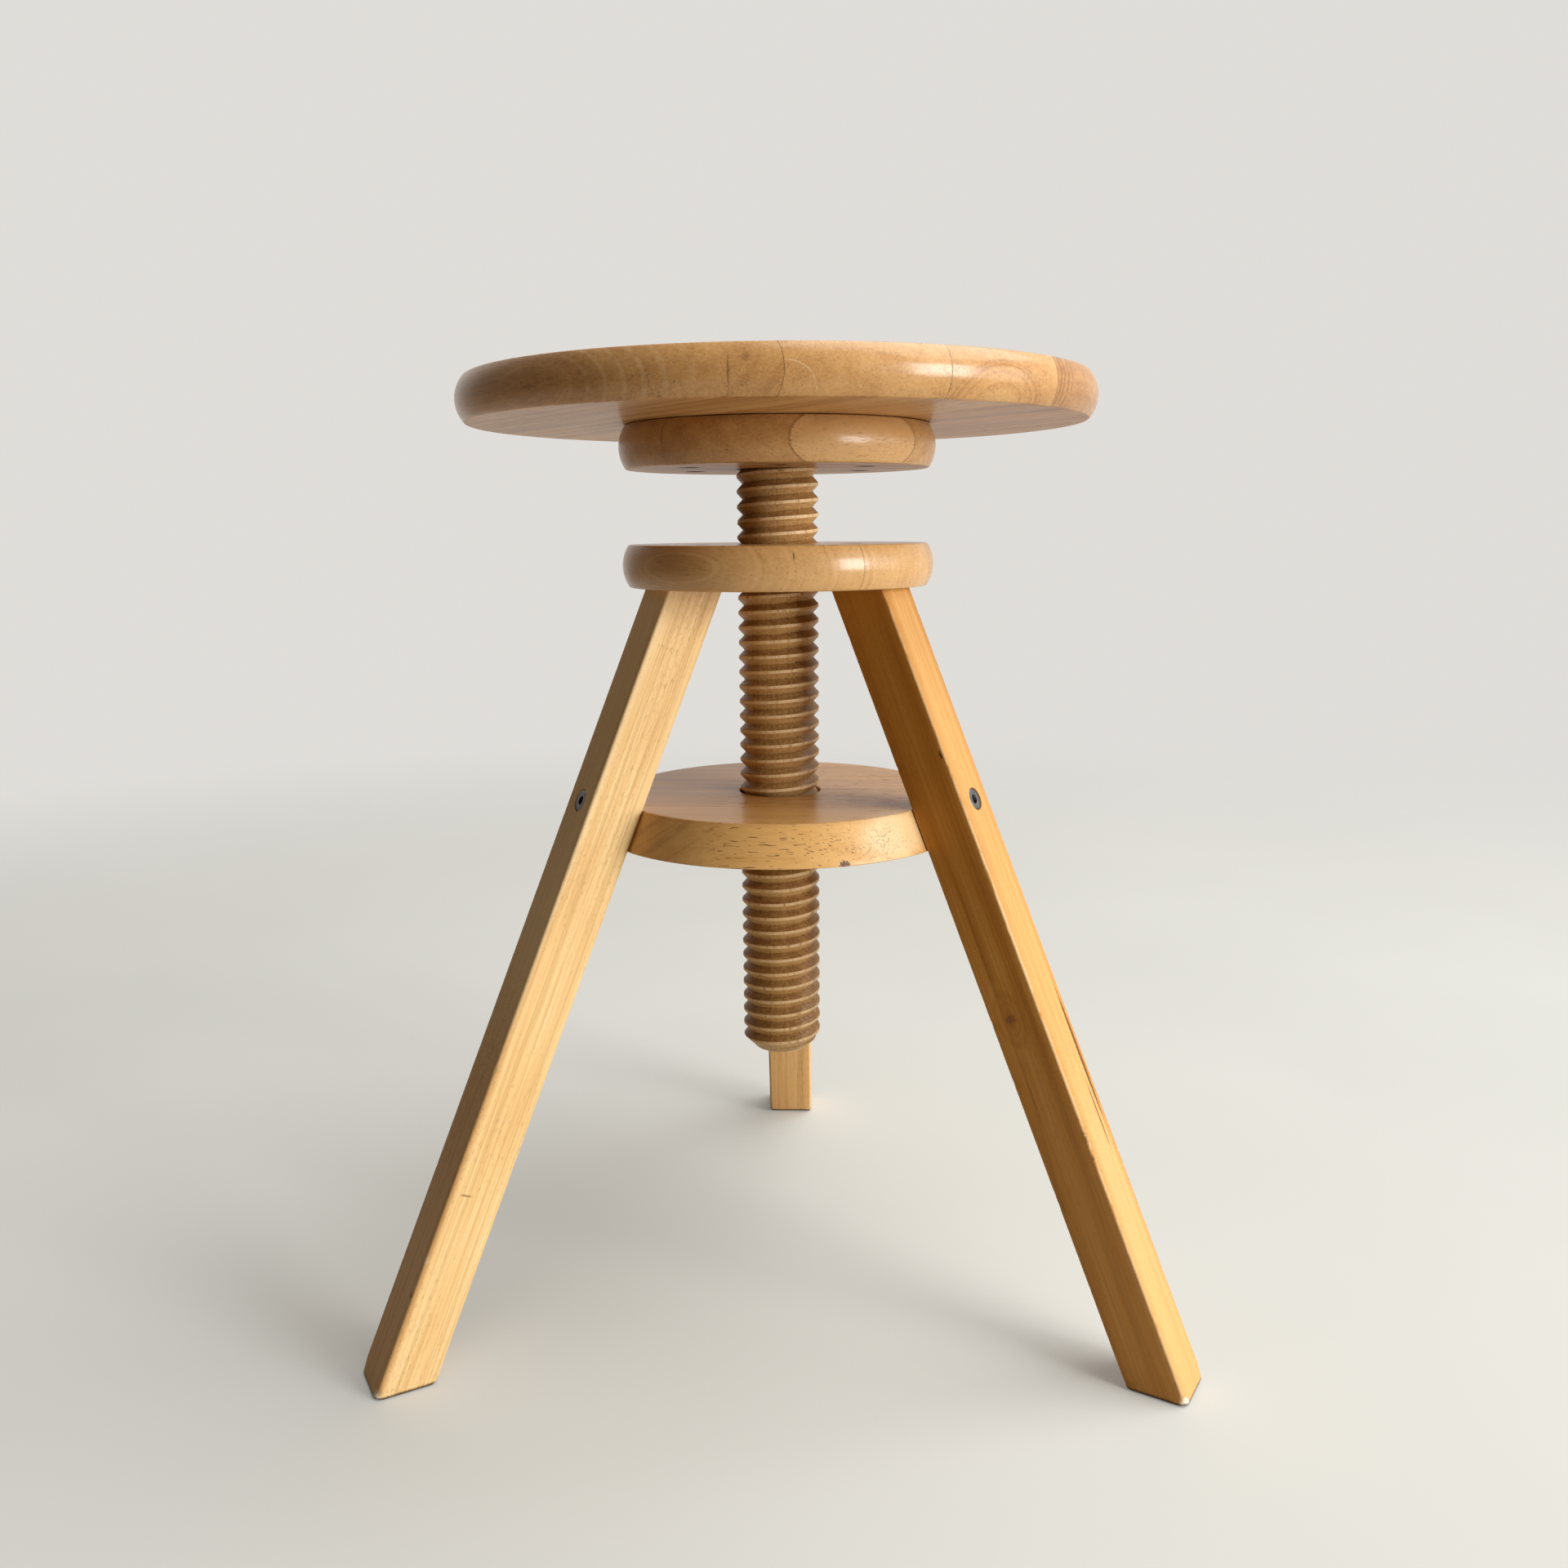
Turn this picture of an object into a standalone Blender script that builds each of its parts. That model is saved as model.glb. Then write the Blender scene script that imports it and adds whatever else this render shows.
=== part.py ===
"""Three-legged stool whose seat rides on a wooden screw. Metres, Z up, the front towards -Y."""

import math

import bmesh
import bpy
from mathutils import Matrix, Vector

# Seat, plate and discs
SEAT_DIAMETER = 0.350
SEAT_THICKNESS = 0.0235
SEAT_EDGE_BULGE = 0.0045
PLATE_DIAMETER = 0.177
PLATE_THICKNESS = 0.0235
NUT_DIAMETER = 0.176
NUT_THICKNESS = 0.0235
DISC_EDGE_BULGE = 0.0036
GUIDE_THICKNESS = 0.0220
GUIDE_DROP = 0.1187
GUIDE_FLAT_DEPTH = 0.0018
GUIDE_FLAT_BLOCK = (0.0120, 0.0700, 0.0600)

# Legs, from the floor to the nut disc's underside, set in from that disc's rim
LEG_HEIGHT = 0.4218
LEG_INSET = 0.0125
LEG_TILT = math.radians(23.25)
LEG_WIDTH = 0.0320
LEG_DEPTH = 0.0302
LEG_EDGE_ROUND = 0.0015
TOE_LENGTH = 0.0008
TOE_HEIGHT = 0.0004
LEG_AZIMUTHS = {"back": math.radians(90), "left": math.radians(210), "right": math.radians(330)}

# Screw spindle and what it runs in, with the seat raised by REST_RISE over the nut disc
SPINDLE_DIAMETER = 0.0460
SPINDLE_LENGTH = 0.3558
SPINDLE_CHAMFER = 0.0068
THREAD_PITCH = 0.00847
THREAD_DEPTH = 0.0032
THREAD_FLAT = 0.0016
THREAD_CLEARANCE = 0.0005
MOUTH_CHAMFER = 0.0025
GUIDE_CLEARANCE = 0.0005
SOCKET_DEPTH = 0.0160
REST_RISE = 0.0411

# Screws up through the plate into the seat
SEAT_SCREW_COUNT = 6
SEAT_SCREW_CIRCLE = 0.110
SEAT_SCREW_AZIMUTH = math.radians(32)
SEAT_SCREW_HEAD = 0.0090
SEAT_SCREW_HEAD_HEIGHT = 0.0030
SEAT_SCREW_SHANK = 0.0045
SEAT_SCREW_LENGTH = 0.0300
SEAT_SCREW_RECESS = 0.0100

# Screws down through the nut disc into the legs' ends
LEG_SCREW_HEAD = 0.0090
LEG_SCREW_HEAD_HEIGHT = 0.0030
LEG_SCREW_SHANK = 0.0050
LEG_SCREW_LENGTH = 0.0650
LEG_SCREW_RECESS = 0.0095

# Centre screw down through the plate into the spindle
SPINDLE_SCREW_HEAD = 0.0120
SPINDLE_SCREW_SHANK = 0.0060
SPINDLE_SCREW_LENGTH = 0.0450
SPINDLE_SCREW_CLEARANCE = 0.0004

# Socket-head bolts through the legs into threaded sleeves in the guide disc's rim
BOLT_HEAD = 0.0120
BOLT_HEAD_RIM = 0.0010
BOLT_SHANK = 0.0050
BOLT_LENGTH = 0.0450
BOLT_EDGE = 0.0055
BOLT_SOCKET = 0.0050
BOLT_SOCKET_DEPTH = 0.0025
INSERT_DIAMETER = 0.0080
INSERT_LENGTH = 0.0140
INSERT_RECESS = 0.0010

# Clearances and fineness
TOUCH_GAP = 0.0003
HEAD_CLEARANCE = 0.0008
OVERCUT = 0.0040
WELD_DISTANCE = 0.00001
THREAD_STEPS = 24
DISC_STEPS = 72
BORE_STEPS = 36
FASTENER_STEPS = 12
HEAD_STEPS = 20
EDGE_SEGMENTS = 5
SMOOTH_ANGLE = math.radians(35)
FLAT_ANGLE = math.radians(0.1)

# Heights above the floor
NUT_BOTTOM = LEG_HEIGHT + TOUCH_GAP
NUT_TOP = NUT_BOTTOM + NUT_THICKNESS
GUIDE_TOP = NUT_BOTTOM - GUIDE_DROP
GUIDE_BOTTOM = GUIDE_TOP - GUIDE_THICKNESS
PLATE_BOTTOM = NUT_TOP + REST_RISE
PLATE_TOP = PLATE_BOTTOM + PLATE_THICKNESS
SEAT_BOTTOM = PLATE_TOP + TOUCH_GAP
SEAT_TOP = SEAT_BOTTOM + SEAT_THICKNESS
SPINDLE_TOP = PLATE_BOTTOM + SOCKET_DEPTH - TOUCH_GAP
SPINDLE_END = SPINDLE_TOP - SPINDLE_LENGTH

# The stool's axis stands off the origin so that the origin is under the middle of the whole outline
FOOT_RADIUS = NUT_DIAMETER / 2 - LEG_INSET + LEG_HEIGHT * math.tan(LEG_TILT)
FOOT_REACH = FOOT_RADIUS - TOE_HEIGHT * math.tan(LEG_TILT)
FRONT_FOOT_TURN = LEG_AZIMUTHS["left"] - math.pi
FRONT_FOOT_REACH = FOOT_REACH * math.sin(FRONT_FOOT_TURN) + LEG_WIDTH / 2 * math.cos(FRONT_FOOT_TURN)
FRONT_REACH = max(SEAT_DIAMETER / 2, FRONT_FOOT_REACH)
AXIS_Y = (FRONT_REACH - FOOT_REACH) / 2

PALE_WOOD = (0.66, 0.42, 0.19)
HONEY_WOOD = (0.60, 0.36, 0.15)
BROWN_WOOD = (0.40, 0.22, 0.095)
DARK_STEEL = (0.10, 0.10, 0.11)
ZINC_STEEL = (0.55, 0.52, 0.46)


def clear_scene():
    for item in list(bpy.data.objects):
        bpy.data.objects.remove(item)


def new_collection(name):
    collection = bpy.data.collections.new(name)
    bpy.context.scene.collection.children.link(collection)
    return collection


def new_material(name, color, roughness, metallic=0.0):
    material = bpy.data.materials.new(name)
    material.use_nodes = True
    shader = material.node_tree.nodes["Principled BSDF"]
    shader.inputs["Base Color"].default_value = (*color, 1.0)
    shader.inputs["Roughness"].default_value = roughness
    shader.inputs["Metallic"].default_value = metallic
    return material


clear_scene()
PARTS = new_collection("tripod_stool")
CUTTERS = new_collection("cutters")


def add_empty(name, parent=None, location=(0, 0, 0), turn=0.0):
    empty = bpy.data.objects.new(name, None)
    empty.empty_display_size = SPINDLE_DIAMETER
    empty.location = location
    empty.rotation_euler = (0, 0, turn)
    empty.parent = parent
    PARTS.objects.link(empty)
    return empty


def add_part(name, mesh, material, parent, location=(0, 0, 0), rotation=(0, 0, 0)):
    part = bpy.data.objects.new(name, mesh)
    part.location = location
    part.rotation_euler = rotation
    part.parent = parent
    if not mesh.materials:
        mesh.materials.append(material)
    PARTS.objects.link(part)
    return part


def add_cutter(name, mesh, parent=None, location=(0, 0, 0), rotation=(0, 0, 0)):
    cutter = bpy.data.objects.new(name, mesh)
    cutter.location = location
    cutter.rotation_euler = rotation
    cutter.parent = parent
    cutter.hide_render = True
    cutter.display_type = "WIRE"
    CUTTERS.objects.link(cutter)
    return cutter


def combine(part, tool, operation="DIFFERENCE"):
    boolean = part.modifiers.new(tool.name, "BOOLEAN")
    boolean.operation = operation
    boolean.object = tool
    boolean.solver = "EXACT"


def take_mesh(source):
    """Mesh of an object with its modifiers, shaded smooth between gentle faces; the object goes."""
    bpy.context.view_layer.update()
    graph = bpy.context.evaluated_depsgraph_get()
    mesh = bpy.data.meshes.new_from_object(source.evaluated_get(graph))
    mesh.name = source.name
    bpy.data.objects.remove(source)
    mesh.shade_smooth()
    mesh.set_sharp_from_angle(angle=SMOOTH_ANGLE)
    return mesh


def flat_ended(mesh):
    """Join the wedges of each flat end into one face."""
    shape = bmesh.new()
    shape.from_mesh(mesh)
    bmesh.ops.dissolve_limit(shape, angle_limit=FLAT_ANGLE, verts=shape.verts, edges=shape.edges)
    shape.to_mesh(mesh)
    shape.free()
    return mesh


def turned_mesh(name, profile, steps, ring=False, pitch=0.0, turns=1):
    """Profile of (radius, height) points, top to bottom, turned about Z or wound along it by a pitch."""
    mesh = bpy.data.meshes.new(name)
    edges = [(i, i + 1) for i in range(len(profile) - 1)]
    if ring:
        edges.append((len(profile) - 1, 0))
    mesh.from_pydata([(radius, 0, height) for radius, height in profile], edges, [])
    blank = add_cutter(name, mesh)
    screw = blank.modifiers.new("turn", "SCREW")
    screw.axis = "Z"
    screw.angle = 2 * math.pi
    screw.steps = steps
    screw.render_steps = steps
    screw.screw_offset = pitch
    screw.iterations = turns
    screw.use_merge_vertices = not pitch
    screw.merge_threshold = WELD_DISTANCE
    if pitch:
        weld = blank.modifiers.new("weld", "WELD")
        weld.merge_threshold = WELD_DISTANCE
    return flat_ended(take_mesh(blank))


def edge_arc(diameter, bulge, high, low):
    """Convex edge of a disc, top arris to bottom arris, as a circular arc."""
    half = (high - low) / 2
    arc_radius = (half * half + bulge * bulge) / (2 * bulge)
    reach = math.asin(half / arc_radius)
    points = []
    for i in range(EDGE_SEGMENTS + 1):
        angle = reach * (1 - 2 * i / EDGE_SEGMENTS)
        radius = diameter / 2 - arc_radius * (1 - math.cos(angle))
        points.append((radius, (high + low) / 2 + arc_radius * math.sin(angle)))
    return points


def disc_mesh(name, diameter, bulge, thickness):
    """Round board standing on height zero, with a convex edge."""
    profile = [(0, thickness), *edge_arc(diameter, bulge, thickness, 0), (0, 0)]
    return turned_mesh(name, profile, DISC_STEPS)


def thread_mesh(name, radius, low, high):
    """Closed right-hand thread of the given crest radius that covers low to high.

    The root passes azimuth zero at whole multiples of the pitch, so every thread made here is in mesh.
    Returns the mesh and the height of its own zero.
    """
    root = radius - THREAD_DEPTH
    crest_low = (THREAD_PITCH - THREAD_FLAT) / 2
    crest_high = (THREAD_PITCH + THREAD_FLAT) / 2
    profile = [(root, THREAD_PITCH), (radius, crest_high), (radius, crest_low), (root, 0)]
    first = math.floor(low / THREAD_PITCH) - 2
    last = math.ceil(high / THREAD_PITCH) + 1
    mesh = turned_mesh(name, profile, THREAD_STEPS, pitch=THREAD_PITCH, turns=last - first)
    close_thread_ends(mesh)
    return mesh, first * THREAD_PITCH


def close_thread_ends(mesh):
    """Fan both open ends of a wound surface onto points of its axis."""
    shape = bmesh.new()
    shape.from_mesh(mesh)
    middle = sum(vertex.co.z for vertex in shape.verts) / len(shape.verts)
    open_edges = [edge for edge in shape.edges if edge.is_boundary]
    lower = [edge for edge in open_edges if edge.verts[0].co.z < middle]
    upper = [edge for edge in open_edges if edge.verts[0].co.z >= middle]
    for rim in (lower, upper):
        height = sum(edge.verts[0].co.z for edge in rim) / len(rim)
        hub = shape.verts.new((0, 0, height))
        for edge in rim:
            shape.faces.new((*edge.verts, hub))
    bmesh.ops.recalc_face_normals(shape, faces=shape.faces)
    shape.to_mesh(mesh)
    shape.free()


def screw_profile(head, head_height, shank, length):
    """Wood screw with its head's bearing face at height zero and a point as long as the shank is thick."""
    return [(0, head_height), (head / 2, head_height), (head / 2, 0), (shank / 2, 0),
            (shank / 2, shank - length), (0, -length)]


def screw_hole_profile(head, shank, length, reach):
    """Counterbore and pilot hole for such a screw, the counterbore running up to reach."""
    bore = head / 2 + HEAD_CLEARANCE
    pilot = shank / 2 + TOUCH_GAP
    return [(0, reach), (bore, reach), (bore, -TOUCH_GAP), (pilot, -TOUCH_GAP),
            (pilot, -length - TOUCH_GAP), (0, -length - TOUCH_GAP)]


def countersunk_profile(head, rim, shank, length, grow=0.0, reach=0.0):
    """Countersunk screw with its flat head at height zero; grow and reach turn it into its own hole."""
    neck = rim + (head - shank) / 2
    return [(0, reach), (head / 2 + grow, reach), (head / 2 + grow, -rim - grow),
            (shank / 2 + grow, -neck - grow), (shank / 2 + grow, -length - grow), (0, -length - grow)]


def outer_face(height):
    """Distance of a leg's outer face from the stool's axis at a height."""
    return FOOT_RADIUS - height * math.tan(LEG_TILT)


def inner_face(height):
    return outer_face(height) - LEG_DEPTH / math.cos(LEG_TILT)


def slice_away(shape, point, normal):
    """Remove what lies on the normal's side of a plane and close the cut."""
    geometry = [*shape.verts, *shape.edges, *shape.faces]
    cut = bmesh.ops.bisect_plane(shape, geom=geometry, plane_co=point, plane_no=normal, clear_outer=True)
    rim = [item for item in cut["geom_cut"] if isinstance(item, bmesh.types.BMEdge)]
    bmesh.ops.edgeloop_fill(shape, edges=rim)


def leg_mesh():
    """Leaning bar with eased long edges, level ends and a chamfered toe; +X points away from the axis."""
    length = 2 * LEG_HEIGHT / math.cos(LEG_TILT)
    shape = bmesh.new()
    bmesh.ops.create_cube(shape, size=1.0)
    bmesh.ops.scale(shape, vec=(LEG_DEPTH, LEG_WIDTH, length), verts=shape.verts)
    long_edges = [edge for edge in shape.edges if edge.calc_length() > length / 2]
    bmesh.ops.bevel(shape, geom=long_edges, offset=LEG_EDGE_ROUND, segments=2, profile=0.5, affect="EDGES")
    lean = Matrix.Rotation(-LEG_TILT, 3, "Y")
    bmesh.ops.rotate(shape, verts=shape.verts, cent=(0, 0, 0), matrix=lean)
    middle = (outer_face(LEG_HEIGHT / 2) + inner_face(LEG_HEIGHT / 2)) / 2
    bmesh.ops.translate(shape, verts=shape.verts, vec=(middle, 0, LEG_HEIGHT / 2))
    slice_away(shape, (0, 0, 0), (0, 0, -1))
    slice_away(shape, (0, 0, LEG_HEIGHT), (0, 0, 1))
    heel_of_toe = Vector((FOOT_RADIUS - TOE_LENGTH, 0, 0))
    tip_of_toe = Vector((outer_face(TOE_HEIGHT), 0, TOE_HEIGHT))
    along = tip_of_toe - heel_of_toe
    slice_away(shape, heel_of_toe, (along.z, 0, -along.x))
    bmesh.ops.recalc_face_normals(shape, faces=shape.faces)
    mesh = bpy.data.meshes.new("leg")
    shape.to_mesh(mesh)
    shape.free()
    mesh.shade_smooth()
    mesh.set_sharp_from_angle(angle=SMOOTH_ANGLE)
    return mesh


def block_mesh(name, size):
    """Box about its own middle."""
    shape = bmesh.new()
    bmesh.ops.create_cube(shape, size=1.0)
    bmesh.ops.scale(shape, vec=size, verts=shape.verts)
    mesh = bpy.data.meshes.new(name)
    shape.to_mesh(mesh)
    shape.free()
    return mesh


def bolt_mesh():
    """Countersunk bolt with a hexagon socket."""
    profile = countersunk_profile(BOLT_HEAD, BOLT_HEAD_RIM, BOLT_SHANK, BOLT_LENGTH)
    bolt = add_cutter("leg_bolt", turned_mesh("leg_bolt", profile, HEAD_STEPS))
    hexagon = [(0, OVERCUT), (BOLT_SOCKET / math.sqrt(3), OVERCUT),
               (BOLT_SOCKET / math.sqrt(3), -BOLT_SOCKET_DEPTH), (0, -BOLT_SOCKET_DEPTH)]
    socket = add_cutter("leg_bolt_socket", turned_mesh("leg_bolt_socket", hexagon, 6))
    combine(bolt, socket)
    mesh = take_mesh(bolt)
    bpy.data.objects.remove(socket)
    return mesh


stool = add_empty("stool", location=(0, AXIS_Y, 0))
screw_axis = add_empty("screw_axis", stool)

seat_wood = new_material("seat_wood", HONEY_WOOD, 0.38)
plate_wood = new_material("plate_wood", PALE_WOOD, 0.40)
nut_wood = new_material("nut_wood", PALE_WOOD, 0.38)
guide_wood = new_material("guide_wood", HONEY_WOOD, 0.42)
leg_wood = new_material("leg_wood", PALE_WOOD, 0.42)
spindle_wood = new_material("spindle_wood", BROWN_WOOD, 0.50)
bolt_steel = new_material("bolt_steel", DARK_STEEL, 0.35, 1.0)
screw_steel = new_material("screw_steel", ZINC_STEEL, 0.40, 1.0)

# Seat and plate
seat = add_part("seat", disc_mesh("seat", SEAT_DIAMETER, SEAT_EDGE_BULGE, SEAT_THICKNESS), seat_wood,
                screw_axis, (0, 0, SEAT_BOTTOM))
plate = add_part("seat_plate", disc_mesh("seat_plate", PLATE_DIAMETER, DISC_EDGE_BULGE, PLATE_THICKNESS),
                 plate_wood, screw_axis, (0, 0, PLATE_BOTTOM))

# Spindle, threaded all along, in a blind socket of the plate
spindle_radius = SPINDLE_DIAMETER / 2
socket_radius = spindle_radius + TOUCH_GAP
socket = add_cutter("plate_socket", turned_mesh("plate_socket", [
    (0, SOCKET_DEPTH), (socket_radius, SOCKET_DEPTH), (socket_radius, -OVERCUT), (0, -OVERCUT)], BORE_STEPS),
    screw_axis, (0, 0, PLATE_BOTTOM))
combine(plate, socket)

spindle_thread, thread_zero = thread_mesh("spindle", spindle_radius, SPINDLE_END, SPINDLE_TOP)
spindle = add_part("spindle", spindle_thread, spindle_wood, screw_axis, (0, 0, thread_zero))
blank_radius = spindle_radius + OVERCUT
blank = add_cutter("spindle_blank", turned_mesh("spindle_blank", [
    (0, SPINDLE_TOP), (blank_radius, SPINDLE_TOP),
    (blank_radius, SPINDLE_END + SPINDLE_CHAMFER + OVERCUT),
    (spindle_radius - SPINDLE_CHAMFER, SPINDLE_END), (0, SPINDLE_END)], BORE_STEPS), screw_axis)
combine(spindle, blank, "INTERSECT")

# Centre screw, countersunk in the plate's top, down into the spindle
spindle_screw = add_part("spindle_screw", turned_mesh("spindle_screw", countersunk_profile(
    SPINDLE_SCREW_HEAD, TOUCH_GAP, SPINDLE_SCREW_SHANK, SPINDLE_SCREW_LENGTH), FASTENER_STEPS), screw_steel,
    screw_axis, (0, 0, PLATE_TOP - SPINDLE_SCREW_CLEARANCE))
spindle_screw_hole = add_cutter("spindle_screw_hole", turned_mesh("spindle_screw_hole", countersunk_profile(
    SPINDLE_SCREW_HEAD, TOUCH_GAP, SPINDLE_SCREW_SHANK, SPINDLE_SCREW_LENGTH, SPINDLE_SCREW_CLEARANCE,
    OVERCUT), HEAD_STEPS), screw_axis, spindle_screw.location)
combine(plate, spindle_screw_hole)
combine(spindle, spindle_screw_hole)

# Seat screws, in deep counterbores of the plate's underside
seat_screw_mesh = turned_mesh("seat_screw", screw_profile(
    SEAT_SCREW_HEAD, SEAT_SCREW_HEAD_HEIGHT, SEAT_SCREW_SHANK, SEAT_SCREW_LENGTH), FASTENER_STEPS)
seat_hole_mesh = turned_mesh("seat_screw_hole", screw_hole_profile(
    SEAT_SCREW_HEAD, SEAT_SCREW_SHANK, SEAT_SCREW_LENGTH, SEAT_SCREW_RECESS + OVERCUT), FASTENER_STEPS)
for number in range(1, SEAT_SCREW_COUNT + 1):
    azimuth = SEAT_SCREW_AZIMUTH + 2 * math.pi * number / SEAT_SCREW_COUNT
    place = (SEAT_SCREW_CIRCLE / 2 * math.cos(azimuth), SEAT_SCREW_CIRCLE / 2 * math.sin(azimuth),
             PLATE_BOTTOM + SEAT_SCREW_RECESS)
    upside_down = (math.pi, 0, 0)
    add_part(f"seat_screw_{number}", seat_screw_mesh, screw_steel, screw_axis, place, upside_down)
    hole = add_cutter(f"seat_screw_hole_{number}", seat_hole_mesh, screw_axis, place, upside_down)
    combine(plate, hole)
    combine(seat, hole)

# Nut disc, tapped for the spindle with chamfered mouths
nut = add_part("nut_disc", disc_mesh("nut_disc", NUT_DIAMETER, DISC_EDGE_BULGE, NUT_THICKNESS), nut_wood,
               stool, (0, 0, NUT_BOTTOM))
tap_radius = spindle_radius + THREAD_CLEARANCE
tap_mesh, tap_zero = thread_mesh("nut_tap", tap_radius, NUT_BOTTOM, NUT_TOP)
combine(nut, add_cutter("nut_tap", tap_mesh, stool, (0, 0, tap_zero)))
mouth_mesh = turned_mesh("nut_mouth", [
    (0, OVERCUT), (tap_radius + OVERCUT, OVERCUT), (tap_radius - MOUTH_CHAMFER, -MOUTH_CHAMFER),
    (0, -MOUTH_CHAMFER)], BORE_STEPS)
combine(nut, add_cutter("nut_mouth_top", mouth_mesh, stool, (0, 0, NUT_TOP)))
combine(nut, add_cutter("nut_mouth_bottom", mouth_mesh, stool, (0, 0, NUT_BOTTOM), (math.pi, 0, 0)))

# Guide disc, its rim parallel to the legs' inner faces and flattened where they lie against it
rim_let_in = GUIDE_FLAT_DEPTH / math.cos(LEG_TILT)
guide_bore = spindle_radius + GUIDE_CLEARANCE
guide_mesh = turned_mesh("guide_disc", [
    (inner_face(GUIDE_TOP) + rim_let_in, GUIDE_TOP), (inner_face(GUIDE_BOTTOM) + rim_let_in, GUIDE_BOTTOM),
    (guide_bore, GUIDE_BOTTOM), (guide_bore, GUIDE_TOP)], DISC_STEPS, ring=True)
guide = add_part("guide_disc", guide_mesh, guide_wood, stool)

# Legs with their screws, bolts and threaded sleeves
leg = leg_mesh()
leg_screw = turned_mesh("leg_screw", screw_profile(
    LEG_SCREW_HEAD, LEG_SCREW_HEAD_HEIGHT, LEG_SCREW_SHANK, LEG_SCREW_LENGTH), FASTENER_STEPS)
leg_screw_hole = turned_mesh("leg_screw_hole", screw_hole_profile(
    LEG_SCREW_HEAD, LEG_SCREW_SHANK, LEG_SCREW_LENGTH, 2 * LEG_SCREW_RECESS + OVERCUT), FASTENER_STEPS)
bolt = bolt_mesh()
bolt_hole = turned_mesh("leg_bolt_hole", countersunk_profile(
    BOLT_HEAD, BOLT_HEAD_RIM, BOLT_SHANK, BOLT_LENGTH, TOUCH_GAP, OVERCUT), HEAD_STEPS)
sleeve_outer = INSERT_DIAMETER / 2
sleeve_inner = BOLT_SHANK / 2 + TOUCH_GAP
insert = turned_mesh("bolt_insert", [
    (sleeve_outer, 0), (sleeve_outer, -INSERT_LENGTH), (sleeve_inner, -INSERT_LENGTH), (sleeve_inner, 0)],
    FASTENER_STEPS, ring=True)
insert_hole = turned_mesh("bolt_insert_hole", [
    (0, OVERCUT), (sleeve_outer + TOUCH_GAP, OVERCUT),
    (sleeve_outer + TOUCH_GAP, -INSERT_LENGTH - TOUCH_GAP), (0, -INSERT_LENGTH - TOUCH_GAP)], FASTENER_STEPS)

screw_height = NUT_TOP - LEG_SCREW_RECESS
screw_place = ((outer_face(screw_height) + inner_face(screw_height)) / 2, 0, screw_height)
along_leg = (0, -LEG_TILT, 0)
square_to_leg = (0, math.pi / 2 - LEG_TILT, 0)
outward = Vector((math.cos(LEG_TILT), 0, math.sin(LEG_TILT)))
rim_height = GUIDE_TOP - BOLT_EDGE
rim_point = Vector((inner_face(rim_height), 0, rim_height))
bolt_place = rim_point + outward * (LEG_DEPTH - TOUCH_GAP)
flat_block = block_mesh("guide_flat", GUIDE_FLAT_BLOCK)
flat_place = rim_point + outward * (GUIDE_FLAT_BLOCK[0] / 2 - TOUCH_GAP)
insert_place = rim_point - outward * (TOUCH_GAP + INSERT_RECESS)
for side, azimuth in LEG_AZIMUTHS.items():
    station = add_empty(f"leg_station_{side}", stool, turn=azimuth)
    leg_part = add_part(f"leg_{side}", leg, leg_wood, station)
    add_part(f"leg_screw_{side}", leg_screw, screw_steel, station, screw_place, along_leg)
    add_part(f"leg_bolt_{side}", bolt, bolt_steel, station, bolt_place, square_to_leg)
    add_part(f"bolt_insert_{side}", insert, screw_steel, station, insert_place, square_to_leg)
    end_hole = add_cutter(f"leg_screw_hole_{side}", leg_screw_hole, station, screw_place, along_leg)
    side_hole = add_cutter(f"leg_bolt_hole_{side}", bolt_hole, station, bolt_place, square_to_leg)
    rim_hole = add_cutter(f"bolt_insert_hole_{side}", insert_hole, station, insert_place, square_to_leg)
    combine(leg_part, end_hole)
    combine(leg_part, side_hole)
    combine(nut, end_hole)
    combine(guide, add_cutter(f"guide_flat_{side}", flat_block, station, flat_place, along_leg))
    combine(guide, side_hole)
    combine(guide, rim_hole)
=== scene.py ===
"""Looks of a three-legged screw stool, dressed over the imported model. Metres, Z up, the front towards -Y."""

import math

import bmesh
import bpy
from mathutils import Matrix, Vector, noise


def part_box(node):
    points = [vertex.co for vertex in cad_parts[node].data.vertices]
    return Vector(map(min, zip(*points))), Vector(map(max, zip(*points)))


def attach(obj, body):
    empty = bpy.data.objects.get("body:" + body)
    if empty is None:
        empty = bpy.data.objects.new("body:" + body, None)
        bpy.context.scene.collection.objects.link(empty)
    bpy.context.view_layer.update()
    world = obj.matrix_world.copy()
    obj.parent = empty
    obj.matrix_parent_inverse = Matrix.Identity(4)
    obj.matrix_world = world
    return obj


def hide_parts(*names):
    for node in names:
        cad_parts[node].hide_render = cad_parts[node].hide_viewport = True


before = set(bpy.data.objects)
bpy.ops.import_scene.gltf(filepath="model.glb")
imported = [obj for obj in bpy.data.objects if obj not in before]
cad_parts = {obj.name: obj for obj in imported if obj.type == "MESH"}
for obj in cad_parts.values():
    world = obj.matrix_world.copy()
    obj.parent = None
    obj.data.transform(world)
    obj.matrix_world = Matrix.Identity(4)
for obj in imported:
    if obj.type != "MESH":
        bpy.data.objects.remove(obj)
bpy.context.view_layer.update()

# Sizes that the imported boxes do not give
LEG_TILT = math.radians(23.25)
LEG_WIDTH = 0.0320
LEG_DEPTH = 0.0302
LEG_ROUND = 0.0016
FOOT_RADIUS = 0.256718
TOE_LENGTH = 0.0008
TOE_HEIGHT = 0.0004
TOE_ROUND = 0.0050
FOOT_ZONE = 0.0100
FOOT_EASE = 0.0012
LEG_ROWS = 260
LEG_BRUISE = 0.0008
BRUISE_WAVES = 300
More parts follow.
